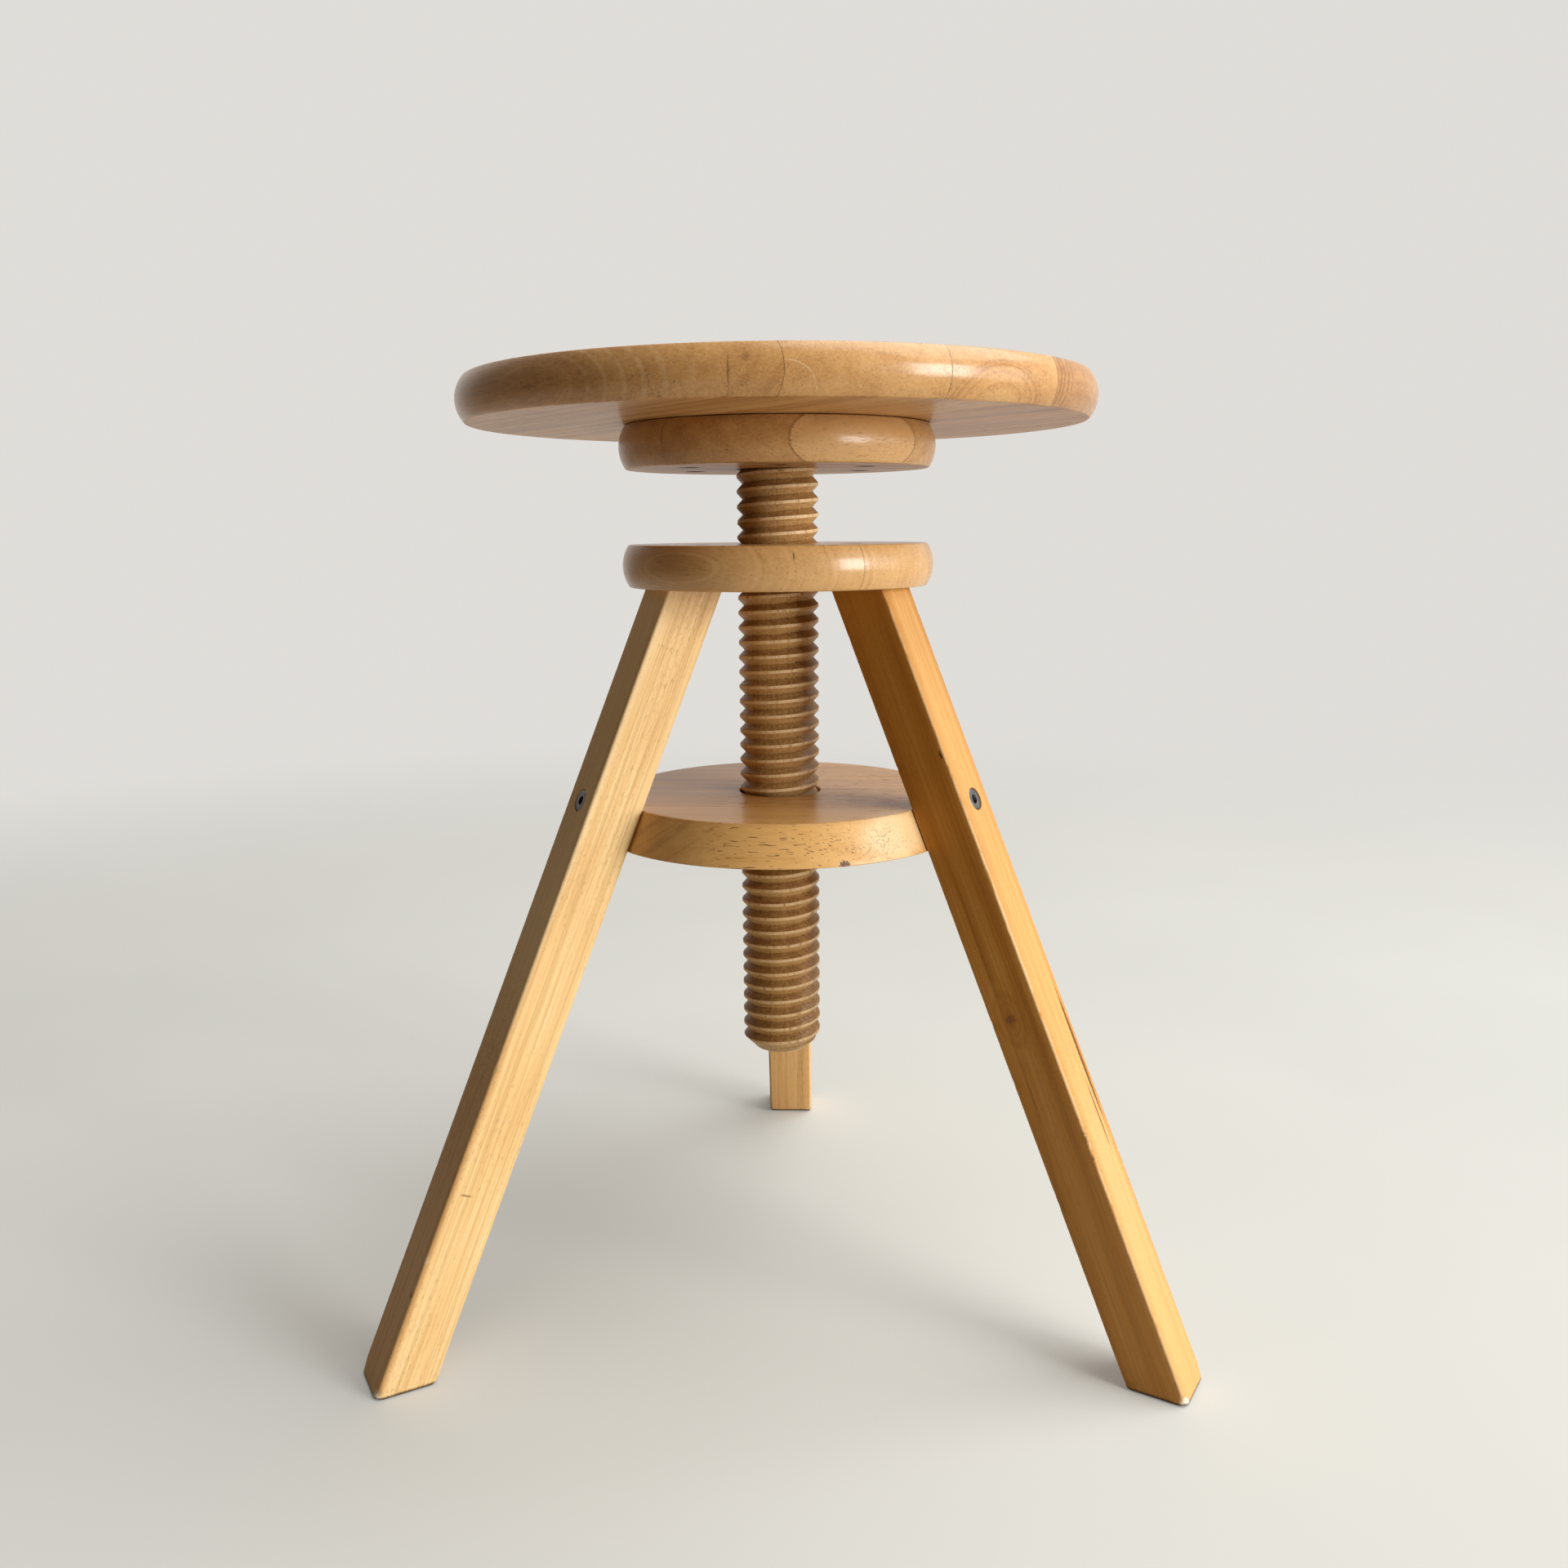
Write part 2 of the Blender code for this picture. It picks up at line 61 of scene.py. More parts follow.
LEG_AZIMUTHS = {"back": math.radians(90), "left": math.radians(210), "right": math.radians(330)}
SEAT_BULGE = 0.0045
DISC_BULGE = 0.0036
GUIDE_EASE = 0.0009
BORE_EASE = 0.0006
THREAD_PITCH = 0.00847
THREAD_DEPTH = 0.0032
THREAD_FLAT = 0.0016
THREAD_CLEARANCE = 0.0005
ROOT_FILL = 0.00006
SPINDLE_SOFT = 0.00010
TAP_SOFT = 0.00015
TAP_MOUTH = 0.0025
CHIP_DEPTH = 0.0012
CHIP_WAVES = (3.4, 330)
SPINDLE_CHAMFER = 0.0068
GUIDE_BORE = 0.0235
SCREW_LENGTHS = {"seat": 0.0300, "leg": 0.0650}
SCREW_SHANKS = {"seat": 0.0045, "leg": 0.0050}
SCREW_TURNS = {"seat": 16, "leg": 30}
SEAT_SCREWS = range(1, 7)
SCREW_HEAD = 0.0090
SCREW_HEAD_HEIGHT = 0.0030
SCREW_HEAD_ROOM = 0.0008
CROSS_WIDTH, CROSS_ARM, CROSS_DEPTH, CROSS_TAPER = 0.0011, 0.0023, 0.0019, 0.45
CENTRE_HOLE = ((0.0064, -0.0007), (0.0034, -0.0037), (0.0034, -0.0456))
CENTRE_SINK = 0.0004
LEG_SCREW_RECESS = 0.0095
BOLT_HEAD = 0.0120
BOLT_SHANK = 0.0025
BOLT_RIM = 0.0010
BOLT_CONE = 0.0035
BOLT_LENGTH = 0.0450
BOLT_ROOM = 0.0004
BOLT_EDGE = 0.0055
BOLT_SOCKET = 0.0050
SLEEVE_HOLE, SLEEVE_DEPTH, SLEEVE_SINK = 0.0043, 0.0143, 0.0010
SHANK_HOLE, SHANK_DEPTH = 0.0028, 0.0400
GUIDE_FLAT = (0.0120, 0.0700, 0.0600)
GAP = 0.0003
OVERCUT = 0.0040
DISC_STEPS = 192
THREAD_STEPS = 96
SMOOTH_ANGLE = math.radians(35)
THREAD_ANGLE = math.radians(60)


def low_high(node):
    low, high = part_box(node)
    return Vector(low), Vector(high)


SEAT_LOW, SEAT_HIGH = low_high("seat")
PLATE_LOW, PLATE_HIGH = low_high("seat_plate")
NUT_LOW, NUT_HIGH = low_high("nut_disc")
AXIS = Vector(((NUT_LOW.x + NUT_HIGH.x) / 2, (NUT_LOW.y + NUT_HIGH.y) / 2, 0))
GUIDE_LOW, GUIDE_HIGH = low_high("guide_disc")
SPINDLE_LOW, SPINDLE_HIGH = low_high("spindle")
LEG_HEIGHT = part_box("leg_left")[1][2]
SPINDLE_RADIUS = (SPINDLE_HIGH.x - SPINDLE_LOW.x) / 2
SEAT_RADIUS = (SEAT_HIGH.x - SEAT_LOW.x) / 2
PLATE_RADIUS = (PLATE_HIGH.x - PLATE_LOW.x) / 2
NUT_RADIUS = (NUT_HIGH.x - NUT_LOW.x) / 2
GUIDE_RADIUS = (GUIDE_HIGH.x - GUIDE_LOW.x) / 2
GUIDE_THICK = GUIDE_HIGH.z - GUIDE_LOW.z


# Meshes
def finish_mesh(shape, name, angle=SMOOTH_ANGLE):
    """Mesh from a bmesh, normals outward, smooth between gentle faces."""
    bmesh.ops.recalc_face_normals(shape, faces=shape.faces)
    mesh = bpy.data.meshes.new(name)
    shape.to_mesh(mesh)
    shape.free()
    mesh.shade_smooth()
    mesh.set_sharp_from_angle(angle=angle)
    return mesh


def new_piece(name, mesh, matrix=None):
    piece = bpy.data.objects.new(name, mesh)
    bpy.context.scene.collection.objects.link(piece)
    if matrix is not None:
        piece.matrix_world = matrix
    return piece


def at_axis(height=0.0, turn=0.0):
    return Matrix.Translation(AXIS + Vector((0, 0, height))) @ Matrix.Rotation(turn, 4, "Z")


def eased(before, corner, after, steps=4):
    """Points of a soft corner, from before to after."""
    before, corner, after = Vector(before), Vector(corner), Vector(after)
    points = []
    for i in range(steps + 1):
        t = i / steps
        points.append(tuple(before * (1 - t) ** 2 + corner * 2 * t * (1 - t) + after * t ** 2))
    return points


def lathe(name, profile, steps, ring=False, wear=None):
    """Profile of (radius, height) points turned about Z. A ring joins its last point to its first."""
    shape = bmesh.new()
    layer = shape.verts.layers.float.new("wear")
    rows = []
    for k in range(steps):
        turn = 2 * math.pi * k / steps
        row = []
        for i, (radius, height) in enumerate(profile):
            vert = shape.verts.new((radius * math.cos(turn), radius * math.sin(turn), height))
            vert[layer] = wear[i] if wear else 0.0
            row.append(vert)
        rows.append(row)
    count = len(profile)
    for k in range(steps):
        here, there = rows[k], rows[(k + 1) % steps]
        for i in range(count if ring else count - 1):
            j = (i + 1) % count
            shape.faces.new((here[i], there[i], there[j], here[j]))
    if not ring:
        shape.faces.new([row[0] for row in rows])
        shape.faces.new([row[-1] for row in reversed(rows)])
    return finish_mesh(shape, name)


def board_profile(radius, thickness, bulge, ease=0.0008, segments=16):
    """Half section of a board with a convex edge, top face first, and how worn each point is."""
    half = thickness / 2
    arc = (half * half + bulge * bulge) / (2 * bulge)
    reach = math.asin(half / arc)
    arris = radius - bulge
    soft = reach - ease / arc

    def on_arc(angle):
        return radius - arc * (1 - math.cos(angle)), half + arc * math.sin(angle)

    top = eased((arris - ease, thickness), (arris, thickness), on_arc(soft))
    edge = [on_arc(soft * (1 - 2 * i / segments)) for i in range(1, segments)]
    low = [(r, thickness - z) for r, z in reversed(top)]
    points = [(arris - 4 * ease, thickness), *top, *edge, *low, (arris - 4 * ease, 0.0)]
    worn = [0.0] + [0.6, 1.0, 1.0, 1.0, 0.4] + [0.0] * len(edge) + [0.4, 1.0, 1.0, 1.0, 0.6] + [0.0]
    return points, worn


def carve(piece, cutters):
    """Take the cutters out of a piece for good, then drop them."""
    for cutter in cutters:
        boolean = piece.modifiers.new(cutter.name, "BOOLEAN")
        boolean.operation = "DIFFERENCE"
        boolean.solver = "EXACT"
        boolean.object = cutter
    bpy.context.view_layer.update()
    graph = bpy.context.evaluated_depsgraph_get()
    mesh = bpy.data.meshes.new_from_object(piece.evaluated_get(graph))
    piece.modifiers.clear()
    piece.data = mesh
    mesh.shade_smooth()
    mesh.set_sharp_from_angle(angle=SMOOTH_ANGLE)
    for cutter in cutters:
        bpy.data.objects.remove(cutter)


def drill(name, profile, matrix, steps=40):
    """Cutter turned about its own Z, standing at a matrix."""
    return new_piece(name, lathe(name, profile, steps), matrix)


def level_cut(shape, height, keep_above):
    """Cut a bmesh at a height and close it there."""
    normal = (0, 0, -1) if keep_above else (0, 0, 1)
    geometry = [*shape.verts, *shape.edges, *shape.faces]
    cut = bmesh.ops.bisect_plane(shape, geom=geometry, plane_co=(0, 0, height), plane_no=normal, clear_outer=True)
    rim = [item for item in cut["geom_cut"] if isinstance(item, bmesh.types.BMEdge)]
    bmesh.ops.edgeloop_fill(shape, edges=rim)


def thread_reach(s, crest, soft):
    """Radius of the thread at a distance s above its root, with softened corners."""
    from_middle = abs(s - THREAD_PITCH / 2)
    slope = THREAD_DEPTH / ((THREAD_PITCH - THREAD_FLAT) / 2)
    fall = soft * math.log1p(math.exp((from_middle - THREAD_FLAT / 2) / soft))
    return max(crest - slope * fall, crest - THREAD_DEPTH + ROOT_FILL)


def thread_shape(crest, low, high, soft, chamfer=0.0, chips=0.0):
    """Right-hand thread between two heights. Its root passes azimuth zero at whole multiples of the pitch."""
    shape = bmesh.new()
    worn = shape.verts.layers.float.new("wear")
    edge = THREAD_FLAT / THREAD_PITCH / 2
    samples = [0.0, 0.03, 0.10, 0.19, 0.28, 0.34, 0.49 - edge, 0.502 - edge, 0.44, 0.5]
    samples += [1.0 - share for share in reversed(samples[1:-1])]
    first = math.floor(low / THREAD_PITCH) - 2
    turns = math.ceil(high / THREAD_PITCH) + 1 - first
    columns = []
    for k in range(turns * THREAD_STEPS + 1):
        turn = 2 * math.pi * k / THREAD_STEPS
        base = (first + k / THREAD_STEPS) * THREAD_PITCH
        column = []
        for share in samples:
            height = base + share * THREAD_PITCH
            radius = thread_reach(share * THREAD_PITCH, crest, soft)
            crown = 1.0 if abs(share - 0.5) < edge else 0.0
            if chips and crown:
                around, upward = CHIP_WAVES
                spot = Vector((math.cos(turn) * around, math.sin(turn) * around, height * upward))
                radius -= max(0.0, noise.noise(spot) - 0.38) * chips
            if chamfer:
                radius = min(radius, crest - chamfer + max(0.0, height - low))
            vert = shape.verts.new((radius * math.cos(turn), radius * math.sin(turn), height))
            vert[worn] = crown
            column.append(vert)
        columns.append(column)
    last = len(samples) - 1
    for k in range(len(columns) - 1):
        here, there = columns[k], columns[k + 1]
        for i in range(last):
            shape.faces.new((here[i], there[i], there[i + 1], here[i + 1]))
        if k + THREAD_STEPS + 1 < len(columns):
            above, beyond = columns[k + THREAD_STEPS], columns[k + THREAD_STEPS + 1]
            shape.faces.new((here[last], there[last], beyond[0], above[0]))
    level_cut(shape, low, True)
    level_cut(shape, high, False)
    return shape


def leg_section(toe_round):
    """Rounded square of a leg: (out, across, how much of a corner) points, and which corner each belongs to."""
    half_out, half_across = LEG_DEPTH / 2, LEG_WIDTH / 2
    corners = [(1, 1, 0, toe_round), (-1, 1, 90, LEG_ROUND), (-1, -1, 180, LEG_ROUND), (1, -1, 270, toe_round)]

    def on_corner(number, turn):
        a, b, start, r = corners[number % 4]
        angle = math.radians(start + turn)
        return Vector((a * (half_out - r) + r * math.cos(angle), b * (half_across - r) + r * math.sin(angle)))

    points = []
    for number in range(4):
        for i in range(9):
            points.append((*on_corner(number, 90 * i / 8), 1.0 - abs(i - 4) / 4, number))
        for i in range(1, 5):
            points.append((*on_corner(number, 90).lerp(on_corner(number + 1, 0), i / 5), 0.0, number))
    return points


def foot_middle():
    return FOOT_RADIUS - LEG_DEPTH / math.cos(LEG_TILT) / 2


def leg_mesh(name, seed):
    """Leaning bar in its own axes: X out of the outer face, Y across, Z up along the bar. Ends are level."""
    heights = [0.0, TOE_HEIGHT, 0.0009, 0.0015, 0.0022, 0.0030, 0.0040, 0.0052, 0.0066, 0.0082, FOOT_ZONE]
    heights += [FOOT_ZONE + (LEG_HEIGHT - 0.0060 - FOOT_ZONE) * i / LEG_ROWS for i in range(1, LEG_ROWS + 1)]
    heights += [LEG_HEIGHT - 0.003, LEG_HEIGHT]
    shape = bmesh.new()
    worn = shape.verts.layers.float.new("wear")
    rows = []
    for height in heights:
        shrink = max(0.0, FOOT_EASE - height) * 0.8
        toe = FOOT_RADIUS - TOE_LENGTH + TOE_LENGTH * height / TOE_HEIGHT
        toe_limit = (toe - foot_middle() + height * math.tan(LEG_TILT)) * math.cos(LEG_TILT)
        low_down = max(0.0, 1.0 - height / FOOT_ZONE)
        row = []
        for out, across, crown, number in leg_section(LEG_ROUND + (TOE_ROUND - LEG_ROUND) * low_down ** 2):
            fine = Vector((number * 5.1 + seed * 1.7, 2.2, height * BRUISE_WAVES))
            bruise = max(0.0, noise.noise(fine) - 0.36) * LEG_BRUISE * crown
            bruise += low_down * LEG_BRUISE * max(0.0, noise.noise(fine * 0.8) + 0.1) * crown
            d = out * (1 - (shrink + bruise) / (LEG_DEPTH / 2))
            if height < TOE_HEIGHT:
                d = min(d, toe_limit)
            b = across * (1 - (shrink + bruise) / (LEG_WIDTH / 2))
            vert = shape.verts.new((d, b, (height - d * math.sin(LEG_TILT)) / math.cos(LEG_TILT)))
            vert[worn] = min(1.0, crown + max(0.0, 0.004 - height) * 120 * (1.0 if out > 0 else 0.4))
            row.append(vert)
        rows.append(row)
    for low, high in zip(rows, rows[1:]):
        for i in range(len(low)):
            j = (i + 1) % len(low)
            shape.faces.new((low[i], low[j], high[j], high[i]))
    shape.faces.new(list(reversed(rows[0])))
    shape.faces.new(rows[-1])
    return finish_mesh(shape, name)


def leg_frame(side):
    """Matrix of a leg's own axes, its origin on the floor under the bar's middle line."""
    lean = Matrix(((math.cos(LEG_TILT), 0, -math.sin(LEG_TILT), 0), (0, 1, 0, 0),
                   (math.sin(LEG_TILT), 0, math.cos(LEG_TILT), 0), (0, 0, 0, 1)))
    return at_axis(0, LEG_AZIMUTHS[side]) @ Matrix.Translation((foot_middle(), 0, 0)) @ lean


def along_leg(height, out=0.0):
    """Height along a leg's own Z where the point at this distance from its middle line is at a height."""
    return (height - out * math.sin(LEG_TILT)) / math.cos(LEG_TILT)


def screw_hole(kind, reach):
    bore, pilot = SCREW_HEAD / 2 + SCREW_HEAD_ROOM, SCREW_SHANKS[kind] / 2 + GAP
    bottom = -SCREW_LENGTHS[kind] - GAP
    return [(bore, reach), (bore, -GAP), (pilot, -GAP), (pilot, bottom)]


def bolt_hole(grow):
    head, shank, neck = BOLT_HEAD / 2 + grow, BOLT_SHANK + grow, BOLT_RIM + BOLT_CONE
    return [(head, OVERCUT), (head, -BOLT_RIM - grow), (shank, -neck - grow), (shank, -BOLT_LENGTH - grow)]


def cross_recess(name, matrix):
    """Two crossing tapered blades, as a cross-head driver leaves them."""
    blades = []
    for k in range(2):
        shape = bmesh.new()
        bmesh.ops.create_cube(shape, size=1.0)
        for vert in shape.verts:
            taper = 1.0 if vert.co.z > 0 else CROSS_TAPER
            vert.co = Vector((vert.co.x * 2 * CROSS_ARM * taper, vert.co.y * CROSS_WIDTH * (0.6 + 0.4 * taper),
                              0.001 if vert.co.z > 0 else -CROSS_DEPTH))
        blades.append(new_piece(f"{name}_blade_{k}", finish_mesh(shape, name),
                                matrix @ Matrix.Rotation(math.pi / 2 * k, 4, "Z")))
    return blades


def wood_screw(name, kind, matrix):
    """Pan-head wood screw with a cross recess, its head's bearing face at its own height zero."""
    head, top, shank, length = SCREW_HEAD / 2, SCREW_HEAD_HEIGHT, SCREW_SHANKS[kind] / 2, SCREW_LENGTHS[kind]
    crown = eased((head - 0.0016, top), (head - 0.0001, top - 0.0001), (head, top * 0.35), 6)
    profile = [(0.0012, top), *crown, (head, 0.0003), (head - 0.0003, 0.0), (shank, 0.0)]
    turns = SCREW_TURNS[kind]
    start, stop = -length * 0.25, -length + shank * 2
    for i in range(turns * 2):
        z = start + (stop - start) * i / (turns * 2 - 1)
        profile.append((shank if i % 2 == 0 else shank * 0.78, z))
    profile.append((0.0004, -length))
    piece = new_piece(name, lathe(name, profile, 32), matrix)
    carve(piece, cross_recess(name, matrix @ Matrix.Translation((0, 0, top))))
    return piece


def leg_bolt(name, matrix):
    """Countersunk bolt with a bevelled rim and a hexagon socket, its face at its own height zero."""
    head = BOLT_HEAD / 2
    rim = eased((head - 0.0007, 0.0), (head - 0.0001, -0.0001), (head, -0.0007), 4)
    profile = [(head - 0.0020, 0.0), *rim, (head, -BOLT_RIM), (BOLT_SHANK, -BOLT_RIM - BOLT_CONE),
               (BOLT_SHANK, -BOLT_LENGTH)]
    piece = new_piece(name, lathe(name, profile, 64), matrix)
    corner = BOLT_SOCKET / math.sqrt(3)
    mouth = [(corner + 0.0006, 0.0004), (corner, -0.0002), (corner, -0.0030), (0.0012, -0.0038)]
    socket = new_piece(f"{name}_socket", lathe(name, mouth, 6), matrix @ Matrix.Rotation(0.2, 4, "Z"))
    carve(piece, [socket])
    return piece


# Materials, first the waves in a metre of their noises, those in threes across the grain, up and along it
RAGGED_WAVES = (1500, 1500, 500)
DRIFT_WAVES = (16, 16, 3.0)
STREAK_WAVES = (95, 95, 2.6)
HAIR_WAVES = (750, 750, 11)
PORE_WAVES = (1400, 1400, 125)
ZONE_WAVES = (60, 60, 9)
BREAK_WAVES = (300, 300, 22)
RUB_WAVES = (420, 420, 85)
DULL_WAVES = (38, 38, 14)
CLOUD_WAVES = 11.0
CUT_WAVES = (90.0, 1300.0)
SPOT_WAVES = 900.0
TURNING_WAVES = (5200.0, 2600.0)
PATCH_WAVES = 700.0
GRIME_WAVES = 260.0

# Sizes and gloss of the wood's surface
GLUE_WIDTH = 0.00040
GLUE_CORE = 0.00008
# Height up a leg where its painted contact shadow begins, and below which it is full
FOOT_SHADE_TOP = 0.0026
FOOT_SHADE_FULL = 0.0010
RELIEF_DEPTH = 0.00022
COAT_ROUGHNESS = 0.17


class Nodes:
    """A node tree with short calls that give back output sockets."""

    def __init__(self, tree):
        self.tree = tree

    def put(self, socket, value):
        if isinstance(value, bpy.types.NodeSocket):
            self.tree.links.new(value, socket)
        else:
            socket.default_value = value

    def node(self, kind, **settings):
        node = self.tree.nodes.new(kind)
        for key, value in settings.items():
            setattr(node, key, value)
        return node

    def fill(self, node, **values):
        for key, value in values.items():
            self.put(node.inputs[key], value)
        return node

    def math(self, operation, a, b=0.0, c=0.0, clamp=False):
        node = self.node("ShaderNodeMath", operation=operation, use_clamp=clamp)
        for socket, value in zip(node.inputs, (a, b, c)):
            self.put(socket, value)
        return node.outputs[0]

    def times(self, a, b):
        return self.math("MULTIPLY", a, b)

    def scaled(self, value, factor, base, clamp=False):
        """Base plus a value times a factor."""
        return self.math("MULTIPLY_ADD", value, factor, base, clamp)

    def apart(self, a, b):
        return self.math("ABSOLUTE", self.math("SUBTRACT", a, b))

    def vary(self, value, amount, base, clamp=False):
        """Base plus an amount of a value that lies about one half."""
        return self.scaled(self.math("SUBTRACT", value, 0.5), amount, base, clamp)

    def vector(self, operation, a, b=(0, 0, 0)):
        node = self.node("ShaderNodeVectorMath", operation=operation)
        self.put(node.inputs[0], a)
        if operation == "SCALE":
            self.put(node.inputs["Scale"], b)
        elif operation != "LENGTH":
            self.put(node.inputs[1], b)
        return node.outputs["Value" if operation in ("LENGTH", "DOT_PRODUCT") else "Vector"]

    def split(self, vector):
        node = self.node("ShaderNodeSeparateXYZ")
        self.put(node.inputs[0], vector)
        return node.outputs[:3]

    def join(self, x, y, z):
        node = self.node("ShaderNodeCombineXYZ")
        for socket, value in zip(node.inputs, (x, y, z)):
            self.put(socket, value)
        return node.outputs[0]

    def noise(self, vector, detail=2.0, roughness=0.5, color=False):
        node = self.node("ShaderNodeTexNoise")
        self.fill(node, Vector=vector, Scale=1.0, Detail=detail, Roughness=roughness)
        return node.outputs["Color" if color else "Fac"]

    def grain(self, vector, waves, detail=2.0, roughness=0.5, color=False):
        return self.noise(self.vector("MULTIPLY", vector, waves), detail, roughness, color)

    def noise_line(self, w, detail=2.0):
        node = self.node("ShaderNodeTexNoise", noise_dimensions="1D")
        return self.fill(node, W=w, Scale=1.0, Detail=detail).outputs["Fac"]

    def span(self, value, low, high, to_low=0.0, to_high=1.0):
        node = self.node("ShaderNodeMapRange", interpolation_type="SMOOTHSTEP")
        for socket, item in zip(node.inputs, (value, low, high, to_low, to_high)):
            self.put(socket, item)
        return node.outputs[0]

    def mix(self, share, a, b):
        node = self.node("ShaderNodeMix", data_type="RGBA", blend_type="MIX")
        self.put(node.inputs[0], share)
        for socket, color in ((node.inputs[6], a), (node.inputs[7], b)):
            self.put(socket, color if isinstance(color, bpy.types.NodeSocket) else (*color, 1.0))
        return node.outputs[2]

    def ramp(self, share, stops):
        node = self.node("ShaderNodeValToRGB")
        self.put(node.inputs[0], share)
        elements = node.color_ramp.elements
        while len(elements) < len(stops):
            elements.new(0.5)
        for element, (position, color) in zip(elements, stops):
            element.position = position
            element.color = (*color, 1.0)
        return node.outputs[0]

    def away(self, place, centre, reach, turn=0.0):
        """Distance from a centre in an ellipsoid turned about Z, 1 on its skin."""
        node = self.node("ShaderNodeMapping", vector_type="TEXTURE")
        self.fill(node, Vector=place, Location=centre, Rotation=(0, 0, turn), Scale=reach)
        return self.vector("LENGTH", node.outputs[0])

    def seen(self):
        """One on rays that show the background, nought on rays that carry its light."""
        rays = self.node("ShaderNodeLightPath").outputs
        clear = self.math("MAXIMUM", rays["Is Camera Ray"], rays["Is Transmission Ray"])
        return self.math("MAXIMUM", clear, rays["Is Glossy Ray"])


class Surface(Nodes):
    """A material's nodes."""

    def __init__(self, name):
        self.material = bpy.data.materials.new(name)
        self.material.use_nodes = True
        super().__init__(self.material.node_tree)
        self.shader = self.tree.nodes["Principled BSDF"]

    def set(self, key, value):
        self.put(self.shader.inputs[key], value)

    def bump(self, height, strength, distance):
        node = self.node("ShaderNodeBump")
        self.fill(node, Strength=strength, Distance=distance, Height=height)
        self.set("Normal", node.outputs[0])
        return node.outputs[0]


def tint(color, factor):
    return tuple(channel * factor for channel in color)


def wood(name, tones, seed, grain=None, joints=(), shifts=(0.0,), pith=(0.0, -0.08), ring=0.0050, rings=0.25,
         lines=0.0, pores=1.0, pore_size=1.0, fibre=1.0, streaks=1.0, gloss=0.46, coat=0.20, relief=0.35, pale=None,
         rub=(0.44, 0.62), hearts=(), outlines=(), spots=(), veins=(), scatter=1.0, up_facing_shade=0.0, foot_shade_lean=0.0,
         shine=0.30, crowd=0.0, calm=None, turned=0.0):
    """Lacquered wood with staves, growth rings, pores, fibres and worn arrises, laid out in the piece's own axes.

    grain is the angle of the grain of a board lying flat, or None where the grain runs along the piece's Z.
    joints are the glue lines across the grain, shifts how much darker each stave between them is.
    hearts are ovals of rings: (centre, reach, turn, (distance, how much darker) from the middle outwards).
    outlines are thin lines on an oval: (centre, reach, turn, width, colour, share, oval in which they show).
    spots are marks and patches of painted light and shade: (centre, reach, turn, colour, share, depth, raggedness).
    veins are dark lines: (across or along the grain, their place there, how far it moves for each step up, width,
    share).
    rings, lines, pores, fibre and streaks say how strong each layer of the figure is.
    pale is the bare wood's colour on worn arrises, rub the span of noise in which they are rubbed through.
    scatter throws the pith of each stave about, flanks is painted shade on what faces up and painted light on what
    faces down, foot is the lean of a leg whose bottom gets a band of painted contact shadow.
    crowd brings more pores, calm is where along the grain they begin and where they are all there.
    turned is how strong the marks of a cutter are that went round the piece's Z.
    """
    light, middle, dark = tones
    s = Surface(name)
    coords = s.node("ShaderNodeTexCoord")
    place, facing = coords.outputs["Object"], coords.outputs["Normal"]
    below = s.span(s.split(facing)[2], -0.75, -0.95)
    if grain is None:
        across, up, along = s.split(place)
        end = s.math("ABSOLUTE", s.split(facing)[2])
    else:
        laid, facing_laid = s.node("ShaderNodeMapping"), s.node("ShaderNodeMapping", vector_type="NORMAL")
        for node, vector in ((laid, place), (facing_laid, facing)):
            s.fill(node, Vector=vector, Rotation=(0, 0, -grain))
        along, across, up = s.split(laid.outputs[0])
        end = s.math("ABSOLUTE", s.split(facing_laid.outputs[0])[0])
    flat = s.join(across, up, along)
    seeded = s.vector("ADD", flat, (seed * 0.137, seed * 0.071, seed * 0.311))

    # Staves and glue lines
    ragged = s.grain(seeded, RAGGED_WAVES, 2.0)
    border = s.vary(ragged, 0.0012, across)
    stave, line, shift = 0.0, 1.0, shifts[0]
    for number, joint in enumerate(joints):
        step = s.math("GREATER_THAN", border, joint)
        stave = s.math("ADD", stave, step)
        shift = s.scaled(step, shifts[number + 1] - shifts[number], shift)
        line = s.math("MINIMUM", line, s.apart(border, joint))
    pith_across, pith_up = pith
    shifted = seeded
    if joints:
        dice = s.node("ShaderNodeTexWhiteNoise", noise_dimensions="1D")
        s.put(dice.inputs["W"], s.math("ADD", stave, seed))
        shifted = s.vector("ADD", seeded, s.vector("SCALE", dice.outputs["Color"], 0.3))
        throw_across, throw_up, _ = s.split(dice.outputs["Color"])
        pith_across = s.vary(throw_across, 0.16 * scatter, pith_across)
        pith_up = s.vary(throw_up, 0.05 * scatter, pith_up)

    # Growth rings round a distant pith, and ovals of rings where a ring's skin comes near the surface
    drift = s.grain(shifted, DRIFT_WAVES, 1.5, color=True)
    drift = s.vector("SUBTRACT", drift, (0.5, 0.5, 0.5))
    wander = s.split(drift)[0]
    drift_across, drift_up, _ = s.split(s.vector("SCALE", drift, 0.010))
    off_across = s.math("ADD", s.math("SUBTRACT", across, pith_across), drift_across)
    off_up = s.math("ADD", s.math("SUBTRACT", up, pith_up), drift_up)
    reach = s.vector("LENGTH", s.join(off_across, off_up, 0.0))
    turns = s.scaled(reach, 1.0 / ring, seed * 1.7)
    figure = s.times(s.math("SUBTRACT", s.noise_line(turns, 2.5), 0.5), rings * 1.6)
    for centre, radii, turn, stops in hearts:
        far = stops[-1][0]
        away = s.scaled(wander, 0.14 * far ** 0.5, s.away(place, centre, radii, turn))
        oval = s.ramp(s.math("DIVIDE", away, far), [(d / far, (0.5 + dark_by,) * 3) for d, dark_by in stops])
        fade = s.span(away, far, far * 0.75)
        figure = s.scaled(s.math("SUBTRACT", s.math("SUBTRACT", oval, 0.5), figure), fade, figure)

